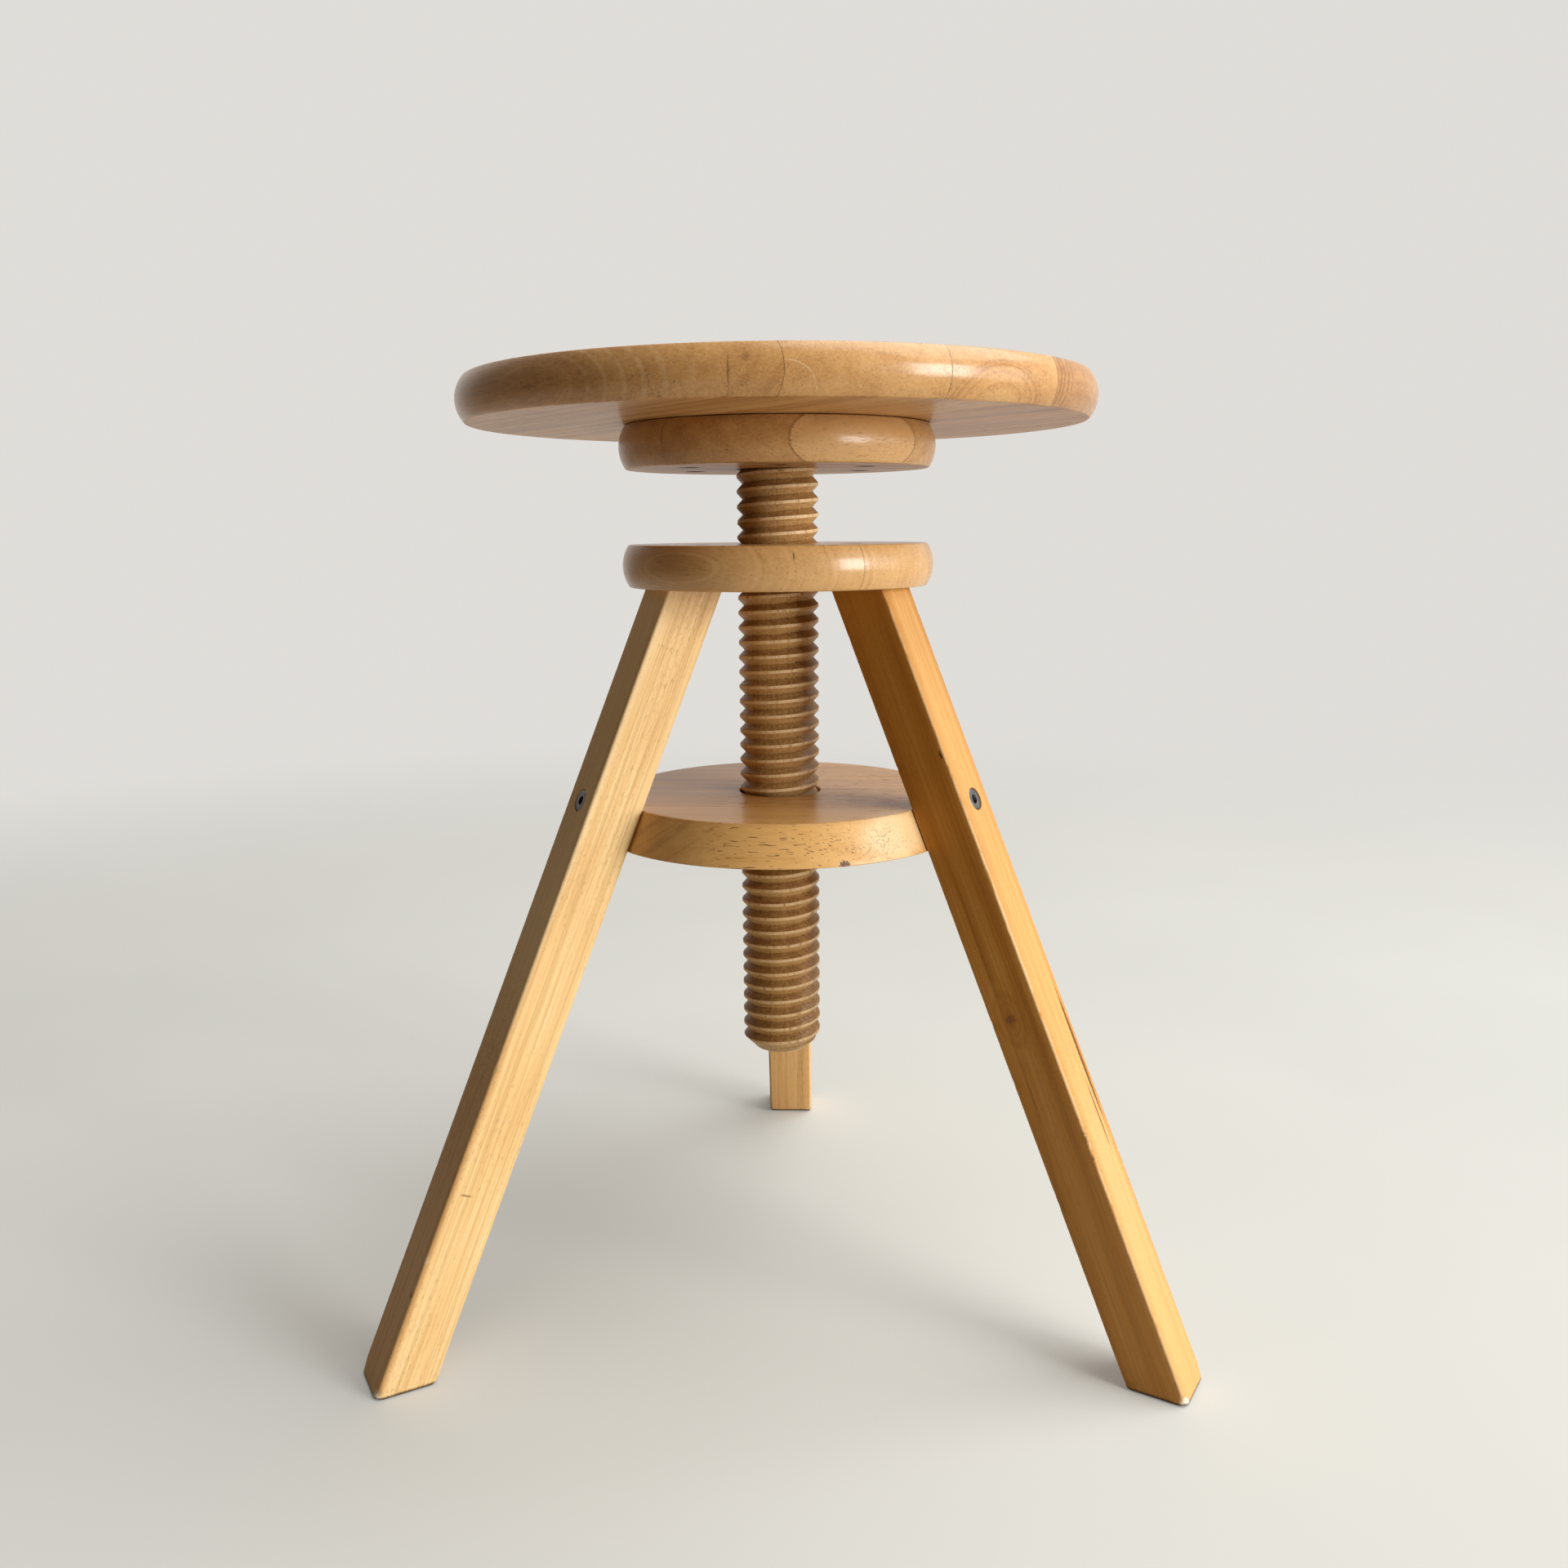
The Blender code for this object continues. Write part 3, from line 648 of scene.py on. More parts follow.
    # Streaks, fibres and pores drawn out along the grain
    streak = s.grain(shifted, STREAK_WAVES, 3.0, 0.6)
    hair = s.grain(shifted, HAIR_WAVES, 3.0, 0.65)
    pore_noise = s.grain(shifted, tint(PORE_WAVES, 1 / pore_size), 1.0)
    pore_zone = s.grain(shifted, ZONE_WAVES, 1.0)
    threshold = s.span(pore_zone, 0.30, 0.70, 0.70 - crowd, 0.61 - crowd)
    pore = s.span(s.math("SUBTRACT", pore_noise, threshold), 0.0, 0.060)
    if calm:
        pore = s.times(pore, s.span(along, *calm))
    cloud = s.noise(s.vector("SCALE", shifted, CLOUD_WAVES), 2.0)

    tone = s.math("ADD", s.math("ADD", figure, shift), 0.45)
    tone = s.vary(streak, 0.70 * streaks, tone)
    tone = s.vary(hair, 0.75 * fibre, tone)
    tone = s.vary(cloud, 0.35, tone)
    tone = s.scaled(s.times(s.math("SUBTRACT", streak, 0.5), below), 1.7, tone)
    tone = s.scaled(s.times(s.math("SUBTRACT", hair, 0.5), below), 0.8 * fibre, tone)
    # Painted shade on surfaces that face up, painted light on those that face down.
    if up_facing_shade:
        tone = s.scaled(s.split(facing)[2], up_facing_shade, tone)
    if turned:
        from_axis = s.vector("LENGTH", s.join(across, up, 0.0))
        cut = s.join(s.times(from_axis, CUT_WAVES[1]), 0.0, 0.0)
        cut = s.vector("ADD", s.vector("SCALE", place, CUT_WAVES[0]), cut)
        tone = s.vary(s.noise(cut, 2.0), turned, tone)
    end_grain = s.span(end, 0.55, 0.97)
    tone = s.scaled(end_grain, 0.06, tone, clamp=True)
    color = s.ramp(tone, [(0.0, light), (0.45, middle), (1.0, dark)])
    if lines:
        thin = s.noise_line(s.scaled(turns, 1.3, 3.3), 2.0)
        thin = s.span(s.apart(thin, 0.5), 0.045, 0.006)
        color = s.mix(s.times(thin, lines), color, tint(dark, 0.75))
    color = s.mix(s.times(pore, 0.60 * pores), color, tint(dark, 0.42))
    height = s.scaled(pore, -0.9 * pores, s.times(hair, 0.45 * fibre))
    if joints:
        glue = s.span(line, GLUE_WIDTH, GLUE_CORE)
        color = s.mix(s.times(glue, 0.62), color, tint(dark, 0.45))
        height = s.scaled(glue, -0.8, height)
    upright = s.span(s.math("ABSOLUTE", s.split(facing)[2]), 0.85, 0.60)
    broken = s.span(s.grain(seeded, BREAK_WAVES, 2.0), 0.32, 0.52, 0.25, 1.0)
    for axis, where, slope, width, share in veins:
        plane = s.scaled(wander, 0.004, border if axis == "across" else along)
        plane = s.scaled(up, slope, plane)
        mask = s.span(s.apart(plane, where), width, width * 0.2)
        if axis == "along":
            mask = s.times(mask, upright)
        color = s.mix(s.times(s.times(mask, broken), share), color, tint(dark, 0.65))
    for centre, radii, turn, width, shade, share, window in outlines:
        away = s.scaled(wander, 0.06, s.away(place, centre, radii, turn))
        mask = s.span(s.apart(away, 1.0), width, width * 0.25)
        mask = s.times(mask, s.times(broken, upright))
        mask = s.times(mask, s.span(s.away(place, *window), 1.0, 0.7))
        color = s.mix(s.times(mask, share), color, shade)

    # Arrises and crests where the lacquer has gone
    lacquer = s.scaled(below, -0.45 * coat, coat)
    if pale:
        worn = s.node("ShaderNodeAttribute", attribute_name="wear").outputs["Fac"]
        patch = s.grain(seeded, RUB_WAVES, 3.0, 0.6)
        rubbed = s.times(s.span(patch, *rub), s.span(worn, 0.15, 0.70))
        rubbed = s.times(rubbed, s.span(hair, 0.30, 0.55, 0.45, 0.85))
        color = s.mix(rubbed, color, pale)
        height = s.scaled(rubbed, -0.4, height)
        lacquer = s.times(lacquer, s.math("SUBTRACT", 1.0, rubbed))
    for centre, radii, turn, shade, share, depth, rough in spots:
        away = s.away(place, centre, radii, turn)
        if rough:
            away = s.vary(s.noise(s.vector("SCALE", place, SPOT_WAVES), 2.0), rough, away)
        mask = s.span(away, 1.0, 0.5)
        color = s.mix(s.times(mask, share), color, shade)
        if depth:
            height = s.scaled(mask, -depth, height)

    # Band of painted contact shadow at a leg's bottom, darkest next to the floor.
    if foot_shade_lean:
        level = s.vector("DOT_PRODUCT", place, (math.sin(foot_shade_lean), 0.0, math.cos(foot_shade_lean)))
        dirt_and_contact_shade = s.span(s.vary(ragged, 0.0016, level), FOOT_SHADE_TOP, FOOT_SHADE_FULL, 0.0, 0.90)
        color = s.mix(dirt_and_contact_shade, color, DIRT_AND_SHADE)
    dull = s.grain(seeded, DULL_WAVES, 2.0)
    rough = s.vary(dull, 0.14, gloss)
    rough = s.scaled(pore, 0.18, rough)
    rough = s.scaled(below, 0.15, rough, clamp=True)
    s.set("Base Color", color)
    s.set("Roughness", rough)
    s.set("Specular IOR Level", shine)
    s.set("Coat Weight", lacquer)
    s.set("Coat Roughness", COAT_ROUGHNESS)
    s.set("Coat Normal", s.bump(height, relief, RELIEF_DEPTH))
    return s.material


def steel(name, light, dark, rough, scratch):
    """Plated steel with fine turning marks, dull patches and patches of dirt."""
    s = Surface(name)
    place = s.node("ShaderNodeTexCoord").outputs["Object"]
    x, y, z = s.split(place)
    from_axis = s.vector("LENGTH", s.join(x, y, 0.0))
    outward, along = TURNING_WAVES
    mark = s.noise(s.join(s.times(from_axis, outward), s.times(z, along), 0.0), 2.0)
    patch = s.noise(s.vector("SCALE", place, PATCH_WAVES), 3.0)
    dirt_and_contact_shade = s.noise(s.vector("SCALE", place, GRIME_WAVES), 2.0)
    color = s.ramp(s.vary(mark, scratch, patch, clamp=True), [(0.25, light), (0.75, dark)])
    color = s.mix(s.span(dirt_and_contact_shade, 0.55, 0.75, 0.0, 0.55), color, tint(dark, 0.35))
    s.set("Base Color", color)
    s.set("Metallic", 1.0)
    s.set("Roughness", s.span(patch, 0.25, 0.75, rough - 0.08, rough + 0.14))
    s.bump(mark, 0.25, 0.00008)
    return s.material


SEAT_TONES = ((0.74, 0.45, 0.19), (0.63, 0.345, 0.125), (0.40, 0.18, 0.05))
DISC_TONES = ((0.76, 0.47, 0.21), (0.64, 0.37, 0.140), (0.40, 0.18, 0.05))
GUIDE_TONES = ((0.76, 0.46, 0.17), (0.64, 0.35, 0.110), (0.36, 0.16, 0.040))
# Each leg's own tones, partly real and partly painted: the right leg's are darker and more saturated as painted
# shade for its shaded wide face, the left leg's paler as painted light for its lit one.
LEG_TONES = {
    "left": ((0.96, 0.74, 0.41), (0.85, 0.575, 0.265), (0.63, 0.345, 0.125)),
    "right": ((0.72, 0.39, 0.115), (0.59, 0.270, 0.050), (0.34, 0.122, 0.017)),
    "back": ((0.86, 0.59, 0.285), (0.77, 0.475, 0.200), (0.55, 0.29, 0.095)),
}
SPINDLE_TONES = ((0.63, 0.395, 0.165), (0.45, 0.252, 0.087), (0.235, 0.114, 0.031))
RAW_WOOD = (0.88, 0.68, 0.42)
BARE_WOOD = (0.93, 0.84, 0.68)
STAIN = (0.20, 0.085, 0.025)
# Near-black brown for real dirt and nicks, also used as painted shade in screw holes and painted contact shadow at
# the legs' bottoms.
DIRT_AND_SHADE = (0.05, 0.03, 0.016)
ARRIS_RUB = (0.66, 0.84)
MOUTH_REACH = 0.0088
HEART_PLACE, HEART_REACH, HEART_TURN = (-0.1115, -0.1348, 0.0085), (0.023, 0.045, 0.0095), math.radians(-39.6)
KNOT_PLACE = (-0.0031, -0.0160, 0.2136)
CRACK = tint(STAIN, 0.5)


def screw_mouths():
    """Shade in the deep counterbores under the plate."""
    marks = []
    for number in SEAT_SCREWS:
        low, high = low_high(f"seat_screw_{number}")
        middle = (low + high) / 2 - AXIS
        marks.append(((middle.x, middle.y, 0.0085), (MOUTH_REACH, MOUTH_REACH, 1.0), 0.0, DIRT_AND_SHADE, 0.95, 0.0, 0.0))
    return tuple(marks)


def nut_mouths():
    """Dark marks at the leg screws' mouths on top of the nut disc: painted shade in the recessed holes, and a
    ragged dark ring round them.
    """
    marks = []
    for side in LEG_AZIMUTHS:
        middle = leg_frame(side) @ Vector((0, 0, along_leg(NUT_HIGH.z))) - AXIS
        top = (middle.x, middle.y, NUT_HIGH.z - NUT_LOW.z)
        marks.append((top, (MOUTH_REACH, MOUTH_REACH, 0.0060), 0.0, DIRT_AND_SHADE, 0.90, 0.0, 0.6))
    return tuple(marks)


seat_wood = wood(
    "seat_wood", SEAT_TONES, 3.0, grain=math.radians(-53), joints=(-0.0985, -0.027, 0.044, 0.119),
    shifts=(0.16, -0.02, 0.0, 0.36, 0.14), ring=0.0045, rings=0.22, pores=0.8, fibre=1.3, gloss=0.42, coat=0.6,
    pale=RAW_WOOD, rub=ARRIS_RUB,
    hearts=((HEART_PLACE, HEART_REACH, HEART_TURN, (
        (0.0, 0.1), (0.35, 0.18), (0.75, 0.12), (0.93, 0.08), (1.0, -0.06), (1.1, 0.05), (1.5, 0.12), (1.9, 0.04),
        (2.2, 0.0))),
            ((0.1087, -0.1372, -0.004), (0.0275, 0.045, 0.0205), math.radians(38.4), (
        (0.0, -0.14), (0.45, -0.1), (0.54, 0.02), (0.6, 0.2), (0.64, -0.06), (0.78, -0.02), (0.84, 0.22),
        (0.88, 0.02), (0.94, 0.1), (0.99, 0.38), (1.03, 0.12), (1.08, 0.3), (1.13, 0.06), (1.3, 0.12), (1.5, 0.02),
        (2.0, 0.0)))),
    outlines=(((0.0085, -0.1745, 0.0037), (0.0137, 0.04, 0.0114), 0.0, 0.035, RAW_WOOD, 0.5,
               ((0.018, -0.1725, 0.0105), (0.011, 0.015, 0.01))),
              *((HEART_PLACE, tint(HEART_REACH, far), HEART_TURN, width, RAW_WOOD, share,
                 ((-0.068, -0.16, 0.0085), (0.046, 0.06, 0.03)))
                for far, width, share in (
                    (1.2, 0.05, 0.14), (1.6, 0.045, 0.16), (2.0, 0.035, 0.2), (2.4, 0.03, 0.2), (2.8, 0.028, 0.19),
                    (3.2, 0.03, 0.15), (3.7, 0.03, 0.1)))),
    veins=(("across", 0.0462, -0.12, 0.0011, 0.9), ("across", 0.0496, -0.1, 0.0009, 0.8),
           ("across", 0.0535, -0.15, 0.0013, 0.8), ("across", 0.058, -0.1, 0.0009, 0.65)),
    spots=(((-0.0162, -0.174, 0.0103), (0.0007, 0.006, 0.01), 0.0, STAIN, 0.6, 0.5, 0.9),
           ((-0.0085, -0.1742, 0.0165), (0.003, 0.006, 0.0022), 0.0, STAIN, 0.4, 0.2, 1.4),
           ((-0.1115, -0.1348, 0.0088), (0.0075, 0.01, 0.0012), HEART_TURN, STAIN, 0.45, 0.0, 1.0)))
plate_wood = wood(
    "plate_wood", DISC_TONES, 5.0, grain=math.radians(31), joints=(-0.0797, 0.05), shifts=(-0.24, 0.18, 0.06),
    ring=0.006, rings=0.12, pores=0.75, pore_size=0.7, crowd=0.01, gloss=0.42, coat=0.48, pale=RAW_WOOD,
    rub=ARRIS_RUB,
    spots=(((-0.057, -0.0667, 0.0119), (0.0006, 0.006, 0.016), math.radians(-40), STAIN, 0.55, 0.4, 0.8),
           *screw_mouths()))
nut_wood = wood(
    "nut_wood", DISC_TONES, 7.0, grain=math.radians(-39), joints=(-0.0285, 0.032), shifts=(-0.08, -0.1, 0.04),
    pith=(-0.25, 0.0118), scatter=0.0, ring=0.0026, rings=0.32, pores=0.6, gloss=0.42, coat=0.6, pale=RAW_WOOD,
    rub=ARRIS_RUB,
    hearts=(((-0.0509, -0.0708, 0.0122), (0.0245, 0.045, 0.0077), math.radians(-38), (
        (0.0, 0.14), (0.7, 0.12), (0.88, 0.06), (0.98, -0.36), (1.05, -0.2), (1.12, 0.05), (1.2, -0.1), (1.3, 0.0),
        (1.7, 0.0))),),
    spots=(((0.01, -0.0853, 0.0181), (0.0007, 0.004, 0.0026), math.radians(20), DIRT_AND_SHADE, 0.7, 1.0, 0.7),
           *nut_mouths()))
guide_wood = wood(
    "guide_wood", GUIDE_TONES, 11.0, grain=math.radians(-4), joints=(-0.052, 0.004, 0.06),
    shifts=(-0.16, 0.28, 0.2, 0.22), pith=(-0.17, -0.049), scatter=0.0, ring=0.006, rings=0.14, pores=1.3,
    pore_size=1.15, gloss=0.42, coat=0.36, relief=0.6, pale=RAW_WOOD, rub=(0.6, 0.78), calm=(-0.05, -0.006),
    veins=(("along", -0.086, -1.4, 0.0036, 0.26), ("along", -0.077, -1.5, 0.0016, 0.2),
           ("along", -0.068, -1.3, 0.0042, 0.26), ("along", -0.054, -1.4, 0.0022, 0.16)),
    # Darker brown band across the front of the top: painted reflection of the spindle above it.
    spots=(((0.0, -0.074, GUIDE_THICK), (0.11, 0.034, 0.003), 0.0, (0.47, 0.235, 0.065), 0.4, 0.0, 0.3),
           ((0.0352, -0.0967, 0.0012), (0.004, 0.005, 0.0025), math.radians(20), tint(STAIN, 0.7), 1.0, 0.6, 1.6),
           # Pale patch on the rim's right: painted highlight.
           ((0.064, -0.076, 0.0125), (0.03, 0.022, 0.016), math.radians(36), (0.95, 0.76, 0.48), 0.45, 0.0, 0.5),
           ((0.0605, -0.0922, 0.0115), (0.014, 0.01, 0.0095), math.radians(34), (0.3, 0.2, 0.11), 0.6, 0.3, 6.0)))


def leg_wood(side, seed, pith, pores, fibre, figure, rub, hearts=(), spots=()):
    return wood(f"leg_{side}_wood", LEG_TONES[side], seed, pith=pith, ring=0.006, rings=0.45 * figure, lines=0.26,
                pores=pores, pore_size=0.6, fibre=fibre, streaks=1.3 * figure, gloss=0.46, coat=0.08, pale=RAW_WOOD,
                rub=rub, hearts=hearts, spots=spots, foot_shade_lean=LEG_TILT, shine=0.06, crowd=0.02)


leg_woods = {
    "left": leg_wood("left", 13.0, (-0.05, 0.02), 0.8, 1.9, 0.6, (0.6, 0.78), spots=(
        # Darker low part of the outer face, which faces away from the light: painted shade.
        ((0.0155, 0.0, 0.02), (0.0045, 0.06, 0.36), 0.0, (0.46, 0.24, 0.09), 0.6, 0.0, 0.5),
        # Paler top of that outer face: painted light.
        ((0.0155, 0.0, 0.4), (0.0045, 0.06, 0.26), 0.0, (1.0, 0.8, 0.5), 0.55, 0.0, 0.5),
        ((0.0061, 0.016, 0.1115), (0.0042, 0.003, 0.0008), 0.0, STAIN, 0.7, 0.4, 0.6),
        ((0.0145, 0.0155, 0.0735), (0.0014, 0.002, 0.003), 0.0, BARE_WOOD, 0.25, 0.5, 0.8),
        ((0.015, 0.0138, 0.0529), (0.003, 0.0015, 0.0014), 0.0, STAIN, 0.9, 0.8, 0.5),
        ((0.014, 0.014, -0.005), (0.0035, 0.004, 0.005), 0.0, BARE_WOOD, 0.9, 0.5, 1.2))),
    # The right leg's arrises rub pale more widely: partly wear, partly a painted highlight along its lit arris.
    "right": leg_wood("right", 17.0, (-0.02, -0.06), 0.6, 1.4, 1.0, (0.33, 0.52), hearts=(
        (KNOT_PLACE, (0.0044, 0.012, 0.0085), 0.0, (
            (0.0, 0.4), (0.5, 0.3), (0.9, 0.1), (1.0, 0.3), (1.2, 0.08), (1.7, 0.22), (2.0, 0.02), (3.0, 0.0))),),
        # Paler low and middle parts of the outer face, which faces the light: painted light, low down also a
        # painted sheen.
        spots=(((0.0151, -0.001, 0.02), (0.006, 0.026, 0.2), 0.0, (0.73, 0.51, 0.235), 0.5, 0.0, 0.6),
               ((0.0151, -0.001, 0.3), (0.005, 0.024, 0.3), 0.0, (0.74, 0.48, 0.225), 0.36, 0.0, 0.5),
               (KNOT_PLACE, (0.0044, 0.004, 0.0026), 0.0, STAIN, 0.7, 0.2, 1.4),
               ((-0.007, -0.016, 0.1708), (0.0008, 0.003, 0.011), 0.0, STAIN, 0.45, 0.2, 0.9),
               ((0.003, -0.016, 0.06), (0.0022, 0.004, 0.06), 0.0, STAIN, 0.22, 0.0, 0.7),
               ((-0.005, -0.016, 0.26), (0.0018, 0.004, 0.05), 0.0, STAIN, 0.25, 0.0, 0.7),
               ((0.0151, 0.0112, 0.182), (0.002, 0.0018, 0.048), 0.0, CRACK, 0.85, 0.4, 0.7),
               ((0.0151, 0.007, 0.148), (0.002, 0.0012, 0.025), 0.0, CRACK, 0.65, 0.4, 0.7),
               # On the shaded wide face, a lighter low part and a darker top: painted light and painted shade.
               ((0.0, -0.016, 0.02), (0.03, 0.006, 0.24), 0.0, (0.6, 0.335, 0.125), 0.4, 0.0, 0.5),
               ((0.0, -0.016, 0.44), (0.03, 0.006, 0.24), 0.0, (0.47, 0.195, 0.026), 0.45, 0.0, 0.5),
               ((0.0138, -0.015, 0.143), (0.0014, 0.0016, 0.006), 0.0, STAIN, 0.7, 0.5, 0.9),
               ((0.0138, -0.015, 0.1325), (0.0012, 0.0014, 0.0026), 0.0, DIRT_AND_SHADE, 0.8, 0.6, 0.6),
               ((0.0125, -0.016, 0.3592), (0.0007, 0.002, 0.003), 0.0, DIRT_AND_SHADE, 0.9, 1.0, 0.5),
               ((0.014, -0.014, -0.005), (0.0035, 0.004, 0.005), 0.0, BARE_WOOD, 0.9, 0.5, 1.2))),
    "back": leg_wood("back", 19.0, (0.05, -0.03), 0.7, 1.3, 0.9, (0.5, 0.66)),
}
# The spindle's thread gets painted shade where it faces up and painted light where it faces down.
spindle_wood = wood("spindle_wood", SPINDLE_TONES, 23.0, pith=(0.009, 0.005), ring=0.004, rings=0.3, fibre=1.9,
                    gloss=0.48, coat=0.14, pale=(0.84, 0.61, 0.35), rub=(0.26, 0.5), up_facing_shade=0.48, turned=0.9)
bolt_steel = steel("bolt_steel", (0.31, 0.315, 0.32), (0.13, 0.13, 0.135), 0.32, 0.5)
screw_steel = steel("screw_steel", (0.62, 0.58, 0.5), (0.4, 0.36, 0.3), 0.36, 0.6)


# Pieces
def dress(piece, body, nodes, material):
    piece.data.materials.clear()
    piece.data.materials.append(material)
    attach(piece, body)
    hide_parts(*nodes)


def board(name, radius, thickness, bulge, height):
    profile, worn = board_profile(radius, thickness, bulge)
    return new_piece(name, lathe(name, profile, DISC_STEPS, wear=worn), at_axis(height))


seat_top = board("seat_board", SEAT_RADIUS, SEAT_HIGH.z - SEAT_LOW.z, SEAT_BULGE, SEAT_LOW.z)
plate = board("plate_board", PLATE_RADIUS, PLATE_HIGH.z - PLATE_LOW.z, DISC_BULGE, PLATE_LOW.z)
nut = board("nut_board", NUT_RADIUS, NUT_HIGH.z - NUT_LOW.z, DISC_BULGE, NUT_LOW.z)

# Seat screws up through the plate
seat_holes, plate_holes = [], []
for number in SEAT_SCREWS:
    low, high = low_high(f"seat_screw_{number}")
    bearing = Matrix.Translation(((low.x + high.x) / 2, (low.y + high.y) / 2, low.z + SCREW_HEAD_HEIGHT))
    bearing = bearing @ Matrix.Rotation(math.pi, 4, "X") @ Matrix.Rotation(number * 0.7, 4, "Z")
    reach = low.z + SCREW_HEAD_HEIGHT - PLATE_LOW.z + OVERCUT
    for holes in (seat_holes, plate_holes):
        holes.append(drill(f"hole_{number}", screw_hole("seat", reach), bearing))
    screw = wood_screw(f"plate_screw_{number}", "seat", bearing)
    dress(screw, "turning_seat", [f"seat_screw_{number}"], screw_steel)
socket_top = SPINDLE_HIGH.z + GAP - PLATE_LOW.z
socket_radius = SPINDLE_RADIUS + GAP
plate_holes.append(drill("plate_socket", [(socket_radius, socket_top), (socket_radius, 0.0),
                                          (socket_radius + OVERCUT, -OVERCUT)], at_axis(PLATE_LOW.z), 96))
centre_hole = [(CENTRE_HOLE[0][0], OVERCUT), *CENTRE_HOLE]
centre = at_axis(PLATE_HIGH.z - CENTRE_SINK)
plate_holes.append(drill("centre_hole", centre_hole, centre))
carve(seat_top, seat_holes)
carve(plate, plate_holes)

# Spindle
spindle = new_piece("spindle_thread", finish_mesh(thread_shape(
    SPINDLE_RADIUS, SPINDLE_LOW.z, SPINDLE_HIGH.z, SPINDLE_SOFT, SPINDLE_CHAMFER, CHIP_DEPTH), "spindle_thread",
    THREAD_ANGLE), at_axis())
carve(spindle, [drill("centre_hole", centre_hole, centre)])
spindle.data.set_sharp_from_angle(angle=THREAD_ANGLE)

# Nut disc with its thread, and the leg screws down through it
tap = SPINDLE_RADIUS + THREAD_CLEARANCE
nut_cutters = [new_piece("tap", finish_mesh(thread_shape(
    tap, NUT_LOW.z - OVERCUT, NUT_HIGH.z + OVERCUT, TAP_SOFT), "tap"), at_axis())]
mouth = [(tap + OVERCUT, OVERCUT), (tap - TAP_MOUTH, -TAP_MOUTH)]
nut_cutters.append(drill("mouth_top", mouth, at_axis(NUT_HIGH.z), 96))
nut_cutters.append(drill("mouth_low", mouth, at_axis(NUT_LOW.z) @ Matrix.Rotation(math.pi, 4, "X"), 96))
screw_along = along_leg(NUT_HIGH.z - LEG_SCREW_RECESS)
for side in LEG_AZIMUTHS:
    bearing = leg_frame(side) @ Matrix.Translation((0, 0, screw_along))
    nut_cutters.append(drill(f"leg_hole_{side}", screw_hole("leg", 2 * LEG_SCREW_RECESS + OVERCUT), bearing))
    screw = wood_screw(f"nut_screw_{side}", "leg", bearing @ Matrix.Rotation(0.5, 4, "Z"))
    dress(screw, "base", [f"leg_screw_{side}"], screw_steel)
carve(nut, nut_cutters)

# Guide disc, its rim parallel to the legs
top_radius = GUIDE_RADIUS - GUIDE_THICK * math.tan(LEG_TILT)
slant = Vector((math.tan(LEG_TILT), -1.0)).normalized()
rim_top = eased((top_radius - GUIDE_EASE, GUIDE_THICK), (top_radius, GUIDE_THICK),
                Vector((top_radius, GUIDE_THICK)) + slant * GUIDE_EASE)
rim_low = eased(Vector((GUIDE_RADIUS, 0)) - slant * GUIDE_EASE, (GUIDE_RADIUS, 0), (GUIDE_RADIUS - GUIDE_EASE, 0))
side_points = [tuple(Vector(rim_top[-1]).lerp(Vector(rim_low[0]), i / 8)) for i in range(1, 8)]
bore_points = [(GUIDE_BORE + BORE_EASE, 0.0), (GUIDE_BORE, BORE_EASE), (GUIDE_BORE, GUIDE_THICK - BORE_EASE),
               (GUIDE_BORE + BORE_EASE, GUIDE_THICK)]
guide_profile = [(top_radius - 4 * GUIDE_EASE, GUIDE_THICK), *rim_top, *side_points, *rim_low,
                 (GUIDE_RADIUS - 4 * GUIDE_EASE, 0.0), *bore_points]
guide_wear = [0.0, 0.5, 1.0, 1.0, 1.0, 0.5, *[0.0] * 7, 0.5, 1.0, 1.0, 1.0, 0.5, 0.0, 0.6, 0.0, 0.0, 0.6]
guide = new_piece("guide_board", lathe("guide_board", guide_profile, DISC_STEPS, True, guide_wear),
                  at_axis(GUIDE_LOW.z))

# Legs with their bolts
guide_holes = []
bolt_along = along_leg(GUIDE_HIGH.z - BOLT_EDGE, -LEG_DEPTH / 2)
for side in LEG_AZIMUTHS:
    bar = leg_frame(side)
    leg = new_piece(f"leg_bar_{side}", leg_mesh(f"leg_bar_{side}", list(LEG_AZIMUTHS).index(side)), bar)
    face = bar @ Matrix.Translation((LEG_DEPTH / 2 - GAP, 0, bolt_along)) @ Matrix.Rotation(math.pi / 2, 4, "Y")
    carve(leg, [drill(f"end_hole_{side}", screw_hole("leg", 0.060), bar @ Matrix.Translation((0, 0, screw_along))),
                drill(f"side_hole_{side}", bolt_hole(BOLT_ROOM), face, 64)])
    dress(leg, "base", [f"leg_{side}"], leg_woods[side])
    dress(leg_bolt(f"socket_bolt_{side}", face), "base", [f"leg_bolt_{side}"], bolt_steel)
    sleeve = bar @ Matrix.Translation((-LEG_DEPTH / 2 - GAP - SLEEVE_SINK, 0, bolt_along))
    sleeve = sleeve @ Matrix.Rotation(math.pi / 2, 4, "Y")
    shape = bmesh.new()
    bmesh.ops.create_cube(shape, size=1.0)
    bmesh.ops.scale(shape, vec=GUIDE_FLAT, verts=shape.verts)
    flat_middle = along_leg((GUIDE_LOW.z + GUIDE_HIGH.z) / 2, -LEG_DEPTH / 2)
    guide_holes.append(new_piece(f"flat_{side}", finish_mesh(shape, "flat"), bar @ Matrix.Translation(
        (GUIDE_FLAT[0] / 2 - LEG_DEPTH / 2 - GAP, 0, flat_middle))))
    guide_holes.append(drill(f"sleeve_{side}", [(SLEEVE_HOLE, OVERCUT), (SLEEVE_HOLE, -SLEEVE_DEPTH)], sleeve))
    guide_holes.append(drill(f"shank_{side}", [(SHANK_HOLE, 0.0), (SHANK_HOLE, -SHANK_DEPTH)], sleeve))
